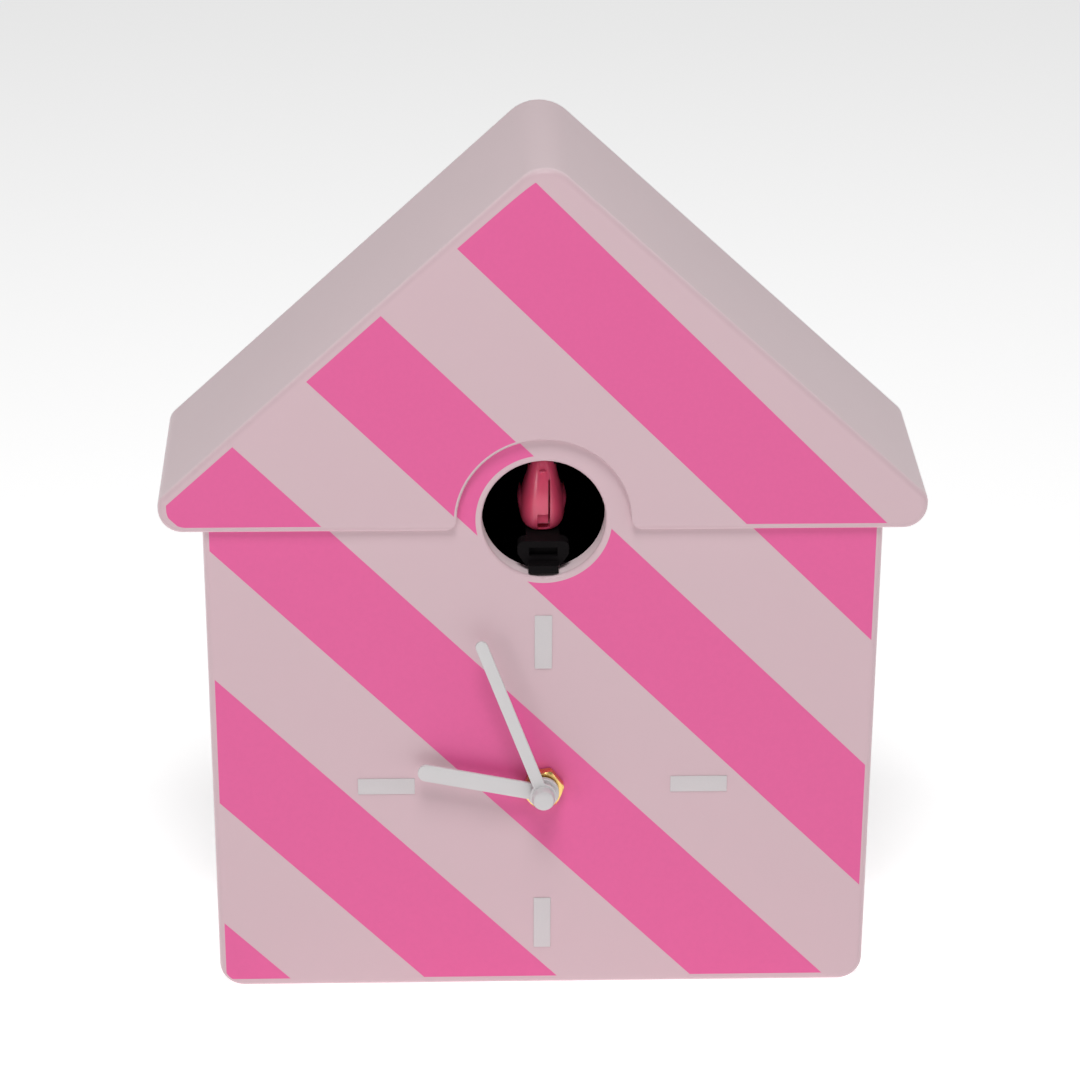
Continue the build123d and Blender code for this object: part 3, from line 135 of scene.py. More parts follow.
class ClockShapes(bpy.types.PropertyGroup):
    """Sizes of the pieces that are modelled here."""

    mark_round: length("Mark edge", "Rounding of a dial bar's edge", 0.12)
    hand_round: length("Hand edge", "Rounding of a hand's edge", 0.28)
    slit: length("Bird slit", "Width of the slit in the bird's breast", 0.6)
    slit_x: length("Slit place", "Distance of the slit from the clock's middle", 1.9)
    mark_length: length("Mark length", "Length of a dial bar", 17.2)
    mark_width: length("Mark width", "Width of a dial bar", 5.2)
    hour_length: length("Hour hand", "Length of the hour hand from the arbor", 38.5)
    hour_width: length("Hour hand width", "Width of the hour hand", 5.5)
    hour_angle: FloatProperty(name="Hour angle", description="Clockwise from twelve",
                              default=math.radians(281.4), subtype="ANGLE", unit="ROTATION")
    minute_length: length("Minute hand", "Length of the minute hand from the arbor", 54.5)
    minute_width: length("Minute hand width", "Width of the minute hand", 3.7)
    minute_angle: FloatProperty(name="Minute angle", description="Clockwise from twelve",
                                default=math.radians(339.5), subtype="ANGLE", unit="ROTATION")
    hand_thickness: length("Hand thickness", "Thickness of the hands' blades", 1.0)
    steps: IntProperty(name="Round steps", description="Faces around a round piece", default=64, min=24,
                       max=128)


class ClockStage(bpy.types.PropertyGroup):
    """Camera, floor and lights."""

    lens: FloatProperty(name="Lens", description="Focal length in millimetres", default=99.70)
    pitch: FloatProperty(name="Pitch", description="How far the camera looks down",
                         default=math.radians(21.969), subtype="ANGLE", unit="ROTATION")
    yaw: FloatProperty(name="Yaw", description="How far the camera looks to the right",
                       default=math.radians(1.757), subtype="ANGLE", unit="ROTATION")
    roll: FloatProperty(name="Roll", description="Turn about the line of sight", default=math.radians(0.252),
                        subtype="ANGLE", unit="ROTATION")
    place: FloatVectorProperty(name="Place", description="Camera position",
                               default=(-0.0261, -0.84896, 0.47775), subtype="XYZ", unit="LENGTH")
    sky: FloatProperty(name="Sky", description="Brightness of the surroundings", default=0.13, min=0)
    key: FloatProperty(name="Key", description="Power of the large lamp, in watts", default=17.5, min=0)
    floor_glow: FloatProperty(name="Floor glow", description="Brightness of the light table under the clock",
                              default=0.56, min=0)
    floor_size: FloatProperty(name="Floor", description="Width of the floor", default=16.0, unit="LENGTH")


GROUPS = {"clock_print": ClockPrint, "clock_colours": ClockColours, "clock_shapes": ClockShapes,
          "clock_stage": ClockStage}


# ---- Material building ----
class Finish:
    """A material under construction: makes nodes and links them with short calls."""

    def __init__(self, name, base, roughness, metallic=0.0, **sockets):
        self.material = bpy.data.materials.new(name)
        self.material.use_nodes = True
        self.tree = self.material.node_tree
        self.shader = self.tree.nodes["Principled BSDF"]
        self.shader.inputs["Base Color"].default_value = (*base, 1.0)
        self.shader.inputs["Roughness"].default_value = roughness
        self.shader.inputs["Metallic"].default_value = metallic
        for socket, value in sockets.items():
            self.shader.inputs[socket.replace("_", " ").title().replace("Ior", "IOR")].default_value = value
        self.coords = self.tree.nodes.new("ShaderNodeTexCoord").outputs["Object"]
        self.material.diffuse_color = (*base, 1.0)

    def feed(self, socket, value):
        """Links a node's output to a socket, or sets a constant on it."""
        if isinstance(value, bpy.types.NodeSocket):
            self.tree.links.new(value, socket)
        elif isinstance(value, (tuple, list)) and len(value) == 3 and socket.type == "RGBA":
            socket.default_value = (*value, 1.0)
        else:
            socket.default_value = value

    def math(self, operation, first, second=None):
        """One arithmetic step."""
        node = self.tree.nodes.new("ShaderNodeMath")
        node.operation = operation
        self.feed(node.inputs[0], first)
        if second is not None:
            self.feed(node.inputs[1], second)
        return node.outputs[0]

    def axes(self):
        """The three Object coordinates, as separate values."""
        node = self.tree.nodes.new("ShaderNodeSeparateXYZ")
        self.feed(node.inputs[0], self.coords)
        return node.outputs

    def below(self, value, edge, softness):
        """One where a value is below an edge, nought above it, blurred over the softness."""
        node = self.tree.nodes.new("ShaderNodeMapRange")
        node.interpolation_type = "SMOOTHSTEP"
        self.feed(node.inputs["Value"], value)
        node.inputs["From Min"].default_value = edge - softness
        node.inputs["From Max"].default_value = edge + softness
        node.inputs["To Min"].default_value = 1.0
        node.inputs["To Max"].default_value = 0.0
        return node.outputs["Result"]

    def stretched(self, scale, shift=(0, 0, 0)):
        """Object coordinates, stretched by a Mapping node."""
        node = self.tree.nodes.new("ShaderNodeMapping")
        self.feed(node.inputs["Vector"], self.coords)
        node.inputs["Scale"].default_value = scale
        node.inputs["Location"].default_value = shift
        return node.outputs["Vector"]

    def noise(self, scale, detail=3.0, vector=None, roughness=0.55):
        """Fractal noise from nought to one."""
        node = self.tree.nodes.new("ShaderNodeTexNoise")
        self.feed(node.inputs["Vector"], vector or self.coords)
        node.inputs["Scale"].default_value = scale
        node.inputs["Detail"].default_value = detail
        node.inputs["Roughness"].default_value = roughness
        return node.outputs["Fac"]

    def cells(self, scale, feature="F1"):
        """Distance to scattered points, for grain and pits."""
        node = self.tree.nodes.new("ShaderNodeTexVoronoi")
        node.feature = feature
        self.feed(node.inputs["Vector"], self.coords)
        node.inputs["Scale"].default_value = scale
        return node.outputs["Distance"]

    def spread(self, value, low, high):
        """Maps a value from nought to one onto another range."""
        node = self.tree.nodes.new("ShaderNodeMapRange")
        self.feed(node.inputs["Value"], value)
        node.inputs["To Min"].default_value = low
        node.inputs["To Max"].default_value = high
        return node.outputs["Result"]

    def blend(self, share, first, second):
        """Mixes two colours."""
        node = self.tree.nodes.new("ShaderNodeMix")
        node.data_type = "RGBA"
        self.feed(node.inputs["Factor"], share)
        self.feed(node.inputs[6], first)
        self.feed(node.inputs[7], second)
        return node.outputs[2]

    def colour(self, value):
        self.feed(self.shader.inputs["Base Color"], value)
        return self

    def rough(self, value):
        self.feed(self.shader.inputs["Roughness"], value)
        return self

    def bump(self, height, strength, depth):
        """Bump from a height value; the depth is in millimetres. Calls after the first add to it."""
        node = self.tree.nodes.new("ShaderNodeBump")
        node.inputs["Strength"].default_value = strength
        node.inputs["Distance"].default_value = depth * MM
        self.feed(node.inputs["Height"], height)
        normal = self.shader.inputs["Normal"]
        if normal.is_linked:
            self.feed(node.inputs["Normal"], normal.links[0].from_socket)
        self.feed(normal, node.outputs["Normal"])
        return self

    def mottle(self, base, amount, scale):
        """A slow drift of the colour, darker and lighter by an amount."""
        dark = tuple(c * (1 - amount) for c in base)
        light = tuple(min(1.0, c * (1 + amount)) for c in base)
        return self.blend(self.noise(scale, 2.0), dark, light)


def shade(base, factor):
    """A colour made darker or lighter."""
    return tuple(min(1.0, c * factor) for c in base)


def stripe_mask(finish, prints):
    """One inside a stripe, nought between stripes, from the distance along the stripes' normal."""
    x, _, z = finish.axes()
    along = finish.math("ADD", finish.math("MULTIPLY", x, math.sin(prints.slant)),
                        finish.math("MULTIPLY", z, math.cos(prints.slant)))
    turns = finish.math("DIVIDE", finish.math("SUBTRACT", prints.first, along), prints.period)
    share = prints.width / prints.period
    centred = finish.math("FRACT", finish.math("ADD", turns, 1.5 - share / 2))
    distance = finish.math("ABSOLUTE", finish.math("SUBTRACT", centred, 0.5))
    return finish.below(distance, share / 2, prints.softness / prints.period)


def ring_distance(finish, centre_z):
    """Distance from the doorway's axis."""
    x, _, z = finish.axes()
    rise = finish.math("SUBTRACT", z, centre_z)
    squares = finish.math("ADD", finish.math("MULTIPLY", x, x), finish.math("MULTIPLY", rise, rise))
    return finish.math("SQRT", squares)


def all_of(finish, *masks):
    """The product of several masks."""
    result = masks[0]
    for mask in masks[1:]:
        result = finish.math("MULTIPLY", result, mask)
    return result


def satin_shell(name, base, grain=0.22):
    """Satin moulded plastic: fine spark texture, faint flow marks and a slow drift of the tone."""
    finish = Finish(name, base, 0.42, specular_ior_level=0.42)
    finish.rough(finish.spread(finish.noise(90.0, 3.0), 0.36, 0.48))
    finish.bump(finish.noise(2600.0, 4.0, roughness=0.7), grain, 0.03)
    finish.bump(finish.noise(38.0, 1.0), 0.05, 0.2)
    return finish


def printed_shell(name, colours, prints, area, front):
    """Satin plastic whose front face carries the stripes inside the masks that area gives."""
    finish = satin_shell(name, colours.shell)
    inside = area(finish)
    ink = all_of(finish, stripe_mask(finish, prints), *inside)
    face = finish.below(finish.axes()[1], front + 1.0 * MM, 0.9 * MM)
    # Painted light: off the front face the colour turns to the sides colour, a lighter painted copy of the
    # same plastic.
    plain = finish.blend(face, finish.mottle(colours.sides, 0.02, 14.0),
                         finish.mottle(colours.shell, 0.012, 16.0))
    worn = finish.blend(finish.noise(700.0, 2.0), shade(colours.stripe, 0.97), shade(colours.stripe, 1.03))
    finish.colour(finish.blend(ink, plain, worn))
    finish.bump(ink, 0.35, 0.012)
    return finish.material


def body_area(finish):
    """Masks of the body's printed area: flat front, side and foot margins, doorway ring."""
    prints = bpy.context.scene.clock_print
    x, y, z = finish.axes()
    soft = prints.softness
    return (finish.below(y, FACE_Y + 0.1 * MM, 0.03 * MM),
            finish.below(finish.math("ABSOLUTE", x), prints.body_half, soft),
            finish.math("SUBTRACT", 1.0, finish.below(z, prints.body_low, soft)),
            finish.math("SUBTRACT", 1.0, finish.below(
                ring_distance(finish, DOORWAY_Z), prints.hole_ring, soft)))


def roof_area(finish):
    """Masks of the roof's printed area: flat front, rounded outline inside the margin, arch ring."""
    prints = bpy.context.scene.clock_print
    x, y, z = finish.axes()
    soft = prints.softness
    side = finish.math("ABSOLUTE", x)
    blunt = finish.math("SQRT", finish.math("ADD", finish.math("MULTIPLY", x, x), prints.apex_round ** 2))
    gable = finish.math("ADD", z, finish.math("MULTIPLY", blunt, prints.roof_rise))
    corner = prints.roof_corner
    over_x = finish.math("MAXIMUM", finish.math("SUBTRACT", side, prints.roof_half - corner), 0.0)
    over_z = finish.math("MAXIMUM", finish.math("SUBTRACT", prints.roof_low + corner, z), 0.0)
    reach = finish.math("SQRT", finish.math("ADD", finish.math("MULTIPLY", over_x, over_x),
                                            finish.math("MULTIPLY", over_z, over_z)))
    return (finish.below(y, ROOF_FACE_Y + 0.1 * MM, 0.03 * MM),
            finish.below(gable, prints.roof_apex, soft),
            finish.below(reach, corner, soft),
            finish.math("SUBTRACT", 1.0, finish.below(
                ring_distance(finish, DOORWAY_Z), prints.arch_ring, soft)))


def painted(name, base):
    """Sprayed paint on sheet metal: faint orange peel."""
    finish = Finish(name, base, 0.34, coat_weight=0.15, coat_roughness=0.2)
    finish.colour(finish.mottle(base, 0.015, 180.0))
    finish.bump(finish.noise(900.0, 2.0), 0.12, 0.03)
    return finish.material


def pearl(name, base):
    """Pearl film on the dial's bars: a soft glitter under a smooth face."""
    finish = Finish(name, base, 0.38, sheen_weight=0.25, coat_weight=0.2, coat_roughness=0.3)
    grains = finish.spread(finish.cells(5200.0), 0.0, 1.0)
    finish.colour(finish.blend(grains, shade(base, 0.97), shade(base, 1.05)))
    finish.bump(finish.noise(3000.0, 2.0), 0.1, 0.01)
    return finish.material


def turned_metal(name, base, roughness, stretch=(300.0, 9000.0, 300.0)):
    """Turned or drawn metal: fine lines across the axis and small stains."""
    finish = Finish(name, base, roughness, 1.0)
    lines = finish.noise(1.0, 4.0, finish.stretched(stretch))
    finish.rough(finish.spread(lines, roughness * 0.75, roughness * 1.35))
    finish.colour(finish.mottle(base, 0.06, 420.0))
    finish.bump(lines, 0.12, 0.02)
    return finish.material


def plated(name, base, roughness):
    """Zinc or nickel plated steel: mottled spangle and fine scratches."""
    finish = Finish(name, base, roughness, 1.0)
    finish.rough(finish.spread(finish.cells(700.0), roughness * 0.8, roughness * 1.4))
    finish.colour(finish.mottle(base, 0.08, 260.0))
    finish.bump(finish.noise(1.0, 3.0, finish.stretched((4000.0, 500.0, 4000.0))), 0.1, 0.02)
    return finish.material


def textured_black(name, base, roughness=0.5, shine=0.4):
    """Black moulded plastic with a spark-eroded grain."""
    finish = Finish(name, base, roughness, specular_ior_level=shine)
    finish.rough(finish.spread(finish.noise(260.0), roughness - 0.08, roughness + 0.08))
    finish.colour(finish.mottle(base, 0.2, 120.0))
    finish.bump(finish.noise(1900.0, 3.0), 0.3, 0.04)
    return finish.material


def nylon(name, base):
    """Natural nylon: waxy and slightly see-through, with faint flow lines."""
    finish = Finish(name, base, 0.4, subsurface_weight=0.15, subsurface_scale=0.002)
    finish.colour(finish.mottle(base, 0.05, 150.0))
    finish.bump(finish.noise(500.0, 2.0), 0.08, 0.03)
    return finish.material


def glossy_bird(name, base):
    """Polished moulded plastic with a little light inside it and faint sink marks; painted shade darkens its
    lower part towards the foot.
    """
    finish = Finish(name, base, 0.22, subsurface_weight=0.12, subsurface_scale=0.003, coat_weight=0.35,
                    coat_roughness=0.12)
    # Painted shade: the colour darkens towards the foot, to 0.72 of the bird's own at the bottom.
    low = finish.below(finish.axes()[2], BIRD_FOOT_Z + 6 * MM, 7 * MM)
    finish.colour(finish.blend(low, finish.mottle(base, 0.06, 220.0), shade(base, 0.72)))
    finish.rough(finish.spread(finish.noise(300.0, 2.0), 0.17, 0.3))
    finish.bump(finish.noise(160.0, 2.0), 0.12, 0.12)
    return finish.material


def rubber(name, base):
    finish = Finish(name, base, 0.75)
    finish.colour(finish.mottle(base, 0.15, 300.0))
    finish.bump(finish.noise(1500.0, 3.0), 0.35, 0.04)
    return finish.material


def wound_wire(name, base, axis):
    """Enamelled copper wire wound in tight turns along an axis, with painted shade in the grooves between
    the turns.
    """
    finish = Finish(name, base, 0.3, 0.85, coat_weight=0.6, coat_roughness=0.15)
    node = finish.tree.nodes.new("ShaderNodeTexWave")
    node.bands_direction = axis
    node.inputs["Scale"].default_value = 1400.0
    node.inputs["Distortion"].default_value = 0.6
    finish.feed(node.inputs["Vector"], finish.coords)
    # Painted shade: the colour darkens to 0.55 of the copper in the grooves between the turns.
    finish.colour(finish.blend(node.outputs["Fac"], shade(base, 0.55), base))
    finish.bump(node.outputs["Fac"], 0.6, 0.08)
    return finish.material


def lacquered_board(name, base):
    """Green circuit board: lacquer over copper tracks and a fine glass weave."""
    finish = Finish(name, base, 0.28, coat_weight=0.5, coat_roughness=0.15)
    tracks = finish.tree.nodes.new("ShaderNodeTexBrick")
    finish.feed(tracks.inputs["Vector"], finish.stretched((1.0, 1.0, 1.0), (0.0, 0.0, 0.0)))
    tracks.inputs["Scale"].default_value = 260.0
    tracks.inputs["Mortar Size"].default_value = 0.018
    tracks.inputs["Mortar Smooth"].default_value = 0.1
    tracks.offset = 0.35
    finish.colour(finish.blend(tracks.outputs["Fac"], finish.mottle(base, 0.1, 90.0), shade(base, 1.8)))
    finish.bump(tracks.outputs["Fac"], 0.4, 0.03)
    finish.bump(finish.noise(2400.0, 1.0), 0.08, 0.02)
    return finish.material


def paper_cone(name, base):
    """Pressed paper pulp with visible fibres."""
    finish = Finish(name, base, 0.85)
    fibres = finish.noise(1.0, 5.0, finish.stretched((900.0, 300.0, 2600.0)), 0.7)
    finish.colour(finish.blend(fibres, shade(base, 0.6), shade(base, 1.6)))
    finish.bump(fibres, 0.5, 0.08)
    return finish.material


def cell_jacket(name, cell_low, cell_high):
    """Printed shrink sleeve of a dry cell: two plain bands and a bright ring."""
    finish = Finish(name, (0.05, 0.05, 0.06), 0.3, coat_weight=0.4, coat_roughness=0.12)
    x = finish.axes()[0]
    masks = []
    for share, half, soft in ((0.55, 9 * MM, 0.1 * MM), (0.66, 0.7 * MM, 0.05 * MM)):
        middle = cell_low.x * (1 - share) + cell_high.x * share
        masks.append(finish.below(finish.math("ABSOLUTE", finish.math("SUBTRACT", x, middle)), half, soft))
    band, ring = masks
    base = finish.blend(band, (0.045, 0.046, 0.05), (0.52, 0.30, 0.06))
    finish.colour(finish.blend(ring, base, (0.75, 0.74, 0.70)))
    finish.rough(finish.spread(finish.noise(240.0, 2.0), 0.22, 0.38))
    finish.bump(finish.noise(420.0, 2.0), 0.06, 0.04)
    return finish.material


MATERIALS = {}


def make_materials():
    """Every finish of the clock, once."""
    colours = bpy.context.scene.clock_colours
    prints = bpy.context.scene.clock_print
    finishes = {
        "body_print": printed_shell("shell_printed_body", colours, prints, body_area, FACE_Y),
        "roof_print": printed_shell("shell_printed_roof", colours, prints, roof_area, ROOF_FACE_Y),
        # The rear cover takes the sides colour, which carries painted light.
        "back": satin_shell("shell_back", shade(colours.sides, 0.98), 0.3).material,
        "marks": pearl("mark_pearl", colours.marks),
        "hands": painted("hand_paint", colours.hands),
        "cap": painted("cap_white", shade(colours.hands, 0.98)),
        "brass": turned_metal("brass_turned", colours.brass, 0.26),
        "washer": rubber("washer_rubber", (0.03, 0.03, 0.03)),
        "black": textured_black("black_moulded", colours.black, 0.55, 0.045),
        "case": textured_black("case_moulded", shade(colours.black, 4.0), 0.4),
        "nylon": nylon("nylon_natural", colours.nylon),
        "bright": turned_metal("steel_ground", (0.66, 0.66, 0.67), 0.18),
        "zinc": plated("steel_zinc", (0.60, 0.61, 0.63), 0.3),
        "magnet": plated("magnet_nickel", (0.36, 0.36, 0.37), 0.38),
        "copper": wound_wire("copper_winding", (0.62, 0.24, 0.09), "X"),
        "board": lacquered_board("board_lacquer", colours.board),
        "chip": textured_black("chip_resin", (0.02, 0.02, 0.022), 0.45),
        "bird": glossy_bird("bird_gloss", colours.bird),
        "eye": textured_black("eye_gloss", (0.01, 0.01, 0.01), 0.12),
        "cone": paper_cone("cone_paper", (0.035, 0.033, 0.032)),
        "knob": textured_black("knob_moulded", shade(colours.black, 3.5), 0.42),
        "solder": plated("solder_tin", (0.62, 0.62, 0.64), 0.25),
        "cell": cell_jacket("cell_sleeve", *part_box("movement_cell")),
    }
    MATERIALS.update(finishes)


# ---- Mesh building ----
def finished(name, bm, body, material, replaces=(), crease=32.0):
    """Turns a bmesh into a piece: normals out, smooth with sharp creases, riding on a body."""
    bmesh.ops.remove_doubles(bm, verts=bm.verts, dist=0.002 * MM)
    bmesh.ops.recalc_face_normals(bm, faces=bm.faces)
    limit = math.radians(crease)
    for face in bm.faces:
        face.smooth = True
    for edge in bm.edges:
        edge.smooth = not (edge.is_manifold and edge.calc_face_angle(0.0) > limit)
    mesh = bpy.data.meshes.new(name)
    bm.to_mesh(mesh)
    bm.free()
    mesh.materials.append(MATERIALS[material])
    piece = bpy.data.objects.new(name, mesh)
    bpy.context.scene.collection.objects.link(piece)
    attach(piece, body)
    if replaces:
        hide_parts(*replaces)
    return piece


def clean_copy(node, name, body, material, crease=24.0):
    """A merged, smoothly shaded copy of a mechanical node, which it stands for."""
    bm = bmesh.new()
    bm.from_mesh(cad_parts[node].data)
    bmesh.ops.remove_doubles(bm, verts=bm.verts, dist=0.002 * MM)
    bmesh.ops.dissolve_degenerate(bm, edges=bm.edges, dist=0.0005 * MM)
    return finished(name, bm, body, material, (node,), crease)


def coat(material, *nodes):
    """Gives mechanical nodes that keep their own shape a material."""
    for node in nodes:
        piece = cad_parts[node]
        piece.data.materials.clear()
        piece.data.materials.append(MATERIALS[material])


def along_y(x, y, z):
    """Matrix that lays a shape's own Z along -Y at a point."""
    return Matrix.Translation((x, y, z)) @ Matrix.Rotation(math.pi / 2, 4, "X")


def backwards(x, y, z):
    """Matrix that lays a shape's own Z along +Y at a point."""
    return Matrix.Translation((x, y, z)) @ Matrix.Rotation(-math.pi / 2, 4, "X")


def along_x(x, y, z):
    """Matrix that lays a shape's own Z along X at a point."""
    return Matrix.Translation((x, y, z)) @ Matrix.Rotation(math.pi / 2, 4, "Y")


def joined(bm, part, place=None):
    """Adds a part made on its own to a piece, at its place."""
    bmesh.ops.remove_doubles(part, verts=part.verts, dist=0.001 * MM)
    if place is not None:
        bmesh.ops.transform(part, matrix=place, verts=part.verts)
    carrier = bpy.data.meshes.new("carrier")
    part.to_mesh(carrier)
    part.free()
    bm.from_mesh(carrier)
    bpy.data.meshes.remove(carrier)


def block(bm, low, high, round_by=0.0, segments=2, turn=None):
    """A box between two corners with rounded edges, turned about its own middle."""
    low, high = Vector(low), Vector(high)
    part = bmesh.new()
    bmesh.ops.create_cube(part, size=1.0)
    bmesh.ops.scale(part, vec=high - low, verts=part.verts)
    if round_by:
        bmesh.ops.bevel(part, geom=part.edges[:], offset=round_by, offset_type="OFFSET", segments=segments,
                        profile=0.5, affect="EDGES", material=-1)
    place = Matrix.Translation((low + high) / 2)
    joined(bm, part, place @ turn if turn is not None else place)


def turned(bm, profile, place, steps=48):
    """Spins a profile of (radius, height) points about its own Z, then lays it in place."""
    part = bmesh.new()
    verts = [part.verts.new((radius, 0.0, height)) for radius, height in profile]
    edges = [part.edges.new(pair) for pair in zip(verts, verts[1:])]
    bmesh.ops.spin(part, geom=verts + edges, cent=(0, 0, 0), axis=(0, 0, 1), angle=2 * math.pi,
                   steps=steps, use_merge=True, use_duplicate=False)
    joined(bm, part, place)


def pin(bm, radius, low, high, place, round_by=0.0, steps=48):
    """A solid round bar between two heights of its own axis, with rounded rims."""
    turns = (0.0, math.pi / 6, math.pi / 3, math.pi / 2)
    inner = radius - round_by
    foot = [(inner + round_by * math.sin(a), low + round_by - round_by * math.cos(a)) for a in turns]
    head = [(inner + round_by * math.cos(a), high - round_by + round_by * math.sin(a)) for a in turns]
    rims = foot + head if round_by else [(radius, low), (radius, high)]
    turned(bm, [(0.0, low), *rims, (0.0, high)], place, steps)


def ring(bm, inner, outer, low, high, place, steps=48):
    """A flat ring with square edges."""
    turned(bm, [(inner, low), (outer, low), (outer, high), (inner, high), (inner, low)], place, steps)


def coil_spring(bm, radius, wire, turns, rise, place, per_turn=20):
    """Round wire wound into a helix by spinning a small circle with a rise per step."""
    part = bmesh.new()
    bmesh.ops.create_circle(part, segments=8, radius=wire, cap_ends=True)
    bmesh.ops.rotate(part, cent=(0, 0, 0), matrix=Matrix.Rotation(math.pi / 2, 3, "X"), verts=part.verts)
    bmesh.ops.translate(part, vec=(radius, 0, 0), verts=part.verts)
    count = int(turns * per_turn)
    bmesh.ops.spin(part, geom=part.faces[:], cent=(0, 0, 0), axis=(0, 0, 1), dvec=(0, 0, rise / count),
                   angle=2 * math.pi * turns, steps=count, use_duplicate=False)
    joined(bm, part, place)


def settled(piece):
    """Makes a piece's modifiers part of its mesh."""
    bpy.context.view_layer.update()
    depsgraph = bpy.context.evaluated_depsgraph_get()
    mesh = bpy.data.meshes.new_from_object(piece.evaluated_get(depsgraph))
    piece.modifiers.clear()
    piece.data = mesh
    return piece


def cut(piece, cutter):
    """Cuts a closed shape out of a piece."""
    mesh = bpy.data.meshes.new("cutter")
    bmesh.ops.recalc_face_normals(cutter, faces=cutter.faces)
    cutter.to_mesh(mesh)
    cutter.free()
    tool = bpy.data.objects.new("cutter", mesh)
    bpy.context.scene.collection.objects.link(tool)
    modifier = piece.modifiers.new("cut", "BOOLEAN")
    modifier.operation = "DIFFERENCE"
    modifier.solver = "EXACT"
    modifier.object = tool
    settled(piece)
    bpy.data.objects.remove(tool)
    bpy.data.meshes.remove(mesh)
    return piece


def crisp(piece, degrees=32.0):
    """Marks the sharp creases of a piece again after a cut."""
    bm = bmesh.new()
    bm.from_mesh(piece.data)
    for face in bm.faces:
        face.smooth = True
    for edge in bm.edges:
        edge.smooth = not (edge.is_manifold and edge.calc_face_angle(0.0) > math.radians(degrees))
    bm.to_mesh(piece.data)
    bm.free()
    return piece


# ---- Operators: one for each piece or group of like pieces ----
class CLOCK_OT_housing(bpy.types.Operator):
    """Give the moulded body and roof their satin skin and printed stripes"""

    bl_idname = "clock.housing"
    bl_label = "Housing"

    def execute(self, context):
        coat("body_print", "house_body")
        coat("roof_print", "roof_shell")
        return {"FINISHED"}


class CLOCK_OT_marks(bpy.types.Operator):
    """Model the four pearl bars of the dial"""

    bl_idname = "clock.marks"
    bl_label = "Dial Marks"

    def execute(self, context):
        shapes = context.scene.clock_shapes
        low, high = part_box("dial_marks")
        bm = bmesh.new()
        middle = high.x - shapes.mark_length / 2
        for turn in range(4):
            angle = turn * math.pi / 2
            x, z = middle * math.sin(angle), DIAL_Z + middle * math.cos(angle)
            tall = turn % 2 == 0
            half_x = (shapes.mark_width if tall else shapes.mark_length) / 2
            half_z = (shapes.mark_length if tall else shapes.mark_width) / 2
            block(bm, (x - half_x, low.y, z - half_z), (x + half_x, high.y + 0.1 * MM, z + half_z),
                  shapes.mark_round, 3)
        finished("dial_bars", bm, "housing", "marks", ("dial_marks",))
        return {"FINISHED"}


def hand_blade(bm, size, width, hub, thickness, rim, place, steps):
    """A straight, round-ended blade with a round hub, drawn as one outline, extruded and rounded."""
    part = bmesh.new()
    neck = math.asin(width / 2 / hub)
    tip = size - width / 2
    outline = []
    for i in range(steps + 1):
        angle = neck + (2 * math.pi - 2 * neck) * i / steps
        outline.append((hub * math.sin(angle), hub * math.cos(angle)))
    for i in range(steps // 3 + 1):
        angle = math.pi + math.pi * i / (steps // 3)
        outline.append((width / 2 * math.cos(angle), tip - width / 2 * math.sin(angle)))
    face = part.faces.new([part.verts.new((x, y, 0.0)) for x, y in outline])
    raised = bmesh.ops.extrude_face_region(part, geom=[face])["geom"]
    top = [g for g in raised if isinstance(g, bmesh.types.BMVert)]
    bmesh.ops.translate(part, vec=(0, 0, thickness), verts=top)
    rims = [e for e in part.edges if len({v.co.z > thickness / 2 for v in e.verts}) == 1]
    bmesh.ops.bevel(part, geom=rims, offset=rim, offset_type="OFFSET", segments=3, profile=0.5,
                    affect="EDGES", material=-1, clamp_overlap=True)
    joined(bm, part, place)


def hand_place(degrees, y):
    """Lays a hand's own Y along its pointing direction and its own Z towards the viewer."""
    turn = Matrix.Rotation(-math.radians(degrees), 4, "Z")
    return Matrix.Translation((0, y, DIAL_Z)) @ Matrix.Rotation(math.pi / 2, 4, "X") @ turn


class CLOCK_OT_hands(bpy.types.Operator):
    """Model the hour and minute hands and the small cap over the arbor"""

    bl_idname = "clock.hands"
    bl_label = "Hands"

    def execute(self, context):
        shapes = context.scene.clock_shapes
        plate = shapes.hand_thickness
        for node, body, angle, size, width, hub, boss, bore, bore_start in (
                ("hour_hand", "hour", shapes.hour_angle, shapes.hour_length, shapes.hour_width,
                 HOUR_HUB_R, HOUR_HUB_R, HOUR_BORE_R, -1 * MM),
                ("minute_hand", "minute", shapes.minute_angle, shapes.minute_length, shapes.minute_width,
                 MINUTE_HUB_R, MINUTE_BOSS_R, MINUTE_BORE_R, 0.3 * MM)):
            low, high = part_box(node)
            bm = bmesh.new()
            hand_blade(bm, size, width, hub, plate, shapes.hand_round,
                       hand_place(math.degrees(angle), low.y + plate), shapes.steps)
            hand = finished(node.replace("_hand", "_pointer"), bm, body, "hands", (node,))
            start = low.y + bore_start
            hole = bmesh.new()
            pin(hole, bore, 0.0, high.y - start + 1 * MM, backwards(0, start, DIAL_Z))
            cut(hand, hole)
            crisp(hand)
            sleeve = bmesh.new()
            ring(sleeve, bore, boss, 0.0, high.y - low.y - plate + 0.02 * MM,
                 backwards(0, low.y + plate - 0.02 * MM, DIAL_Z))
            finished(node.replace("_hand", "_boss"), sleeve, body, "hands", ())
        low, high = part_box("hand_cap")
        bm = bmesh.new()
        radius = (high.x - low.x) / 2
        place = along_y(0, high.y, DIAL_Z)
        rise = high.y - low.y
        turned(bm, [(0, 0), (radius, 0), (radius, rise * 0.45), (radius * 0.97, rise * 0.7),
                    (radius * 0.88, rise * 0.88), (radius * 0.72, rise * 0.97), (radius * 0.4, rise),
                    (0, rise)], place, shapes.steps)
        finished("arbor_cap", bm, "minute", "cap", ("hand_cap",))
        return {"FINISHED"}


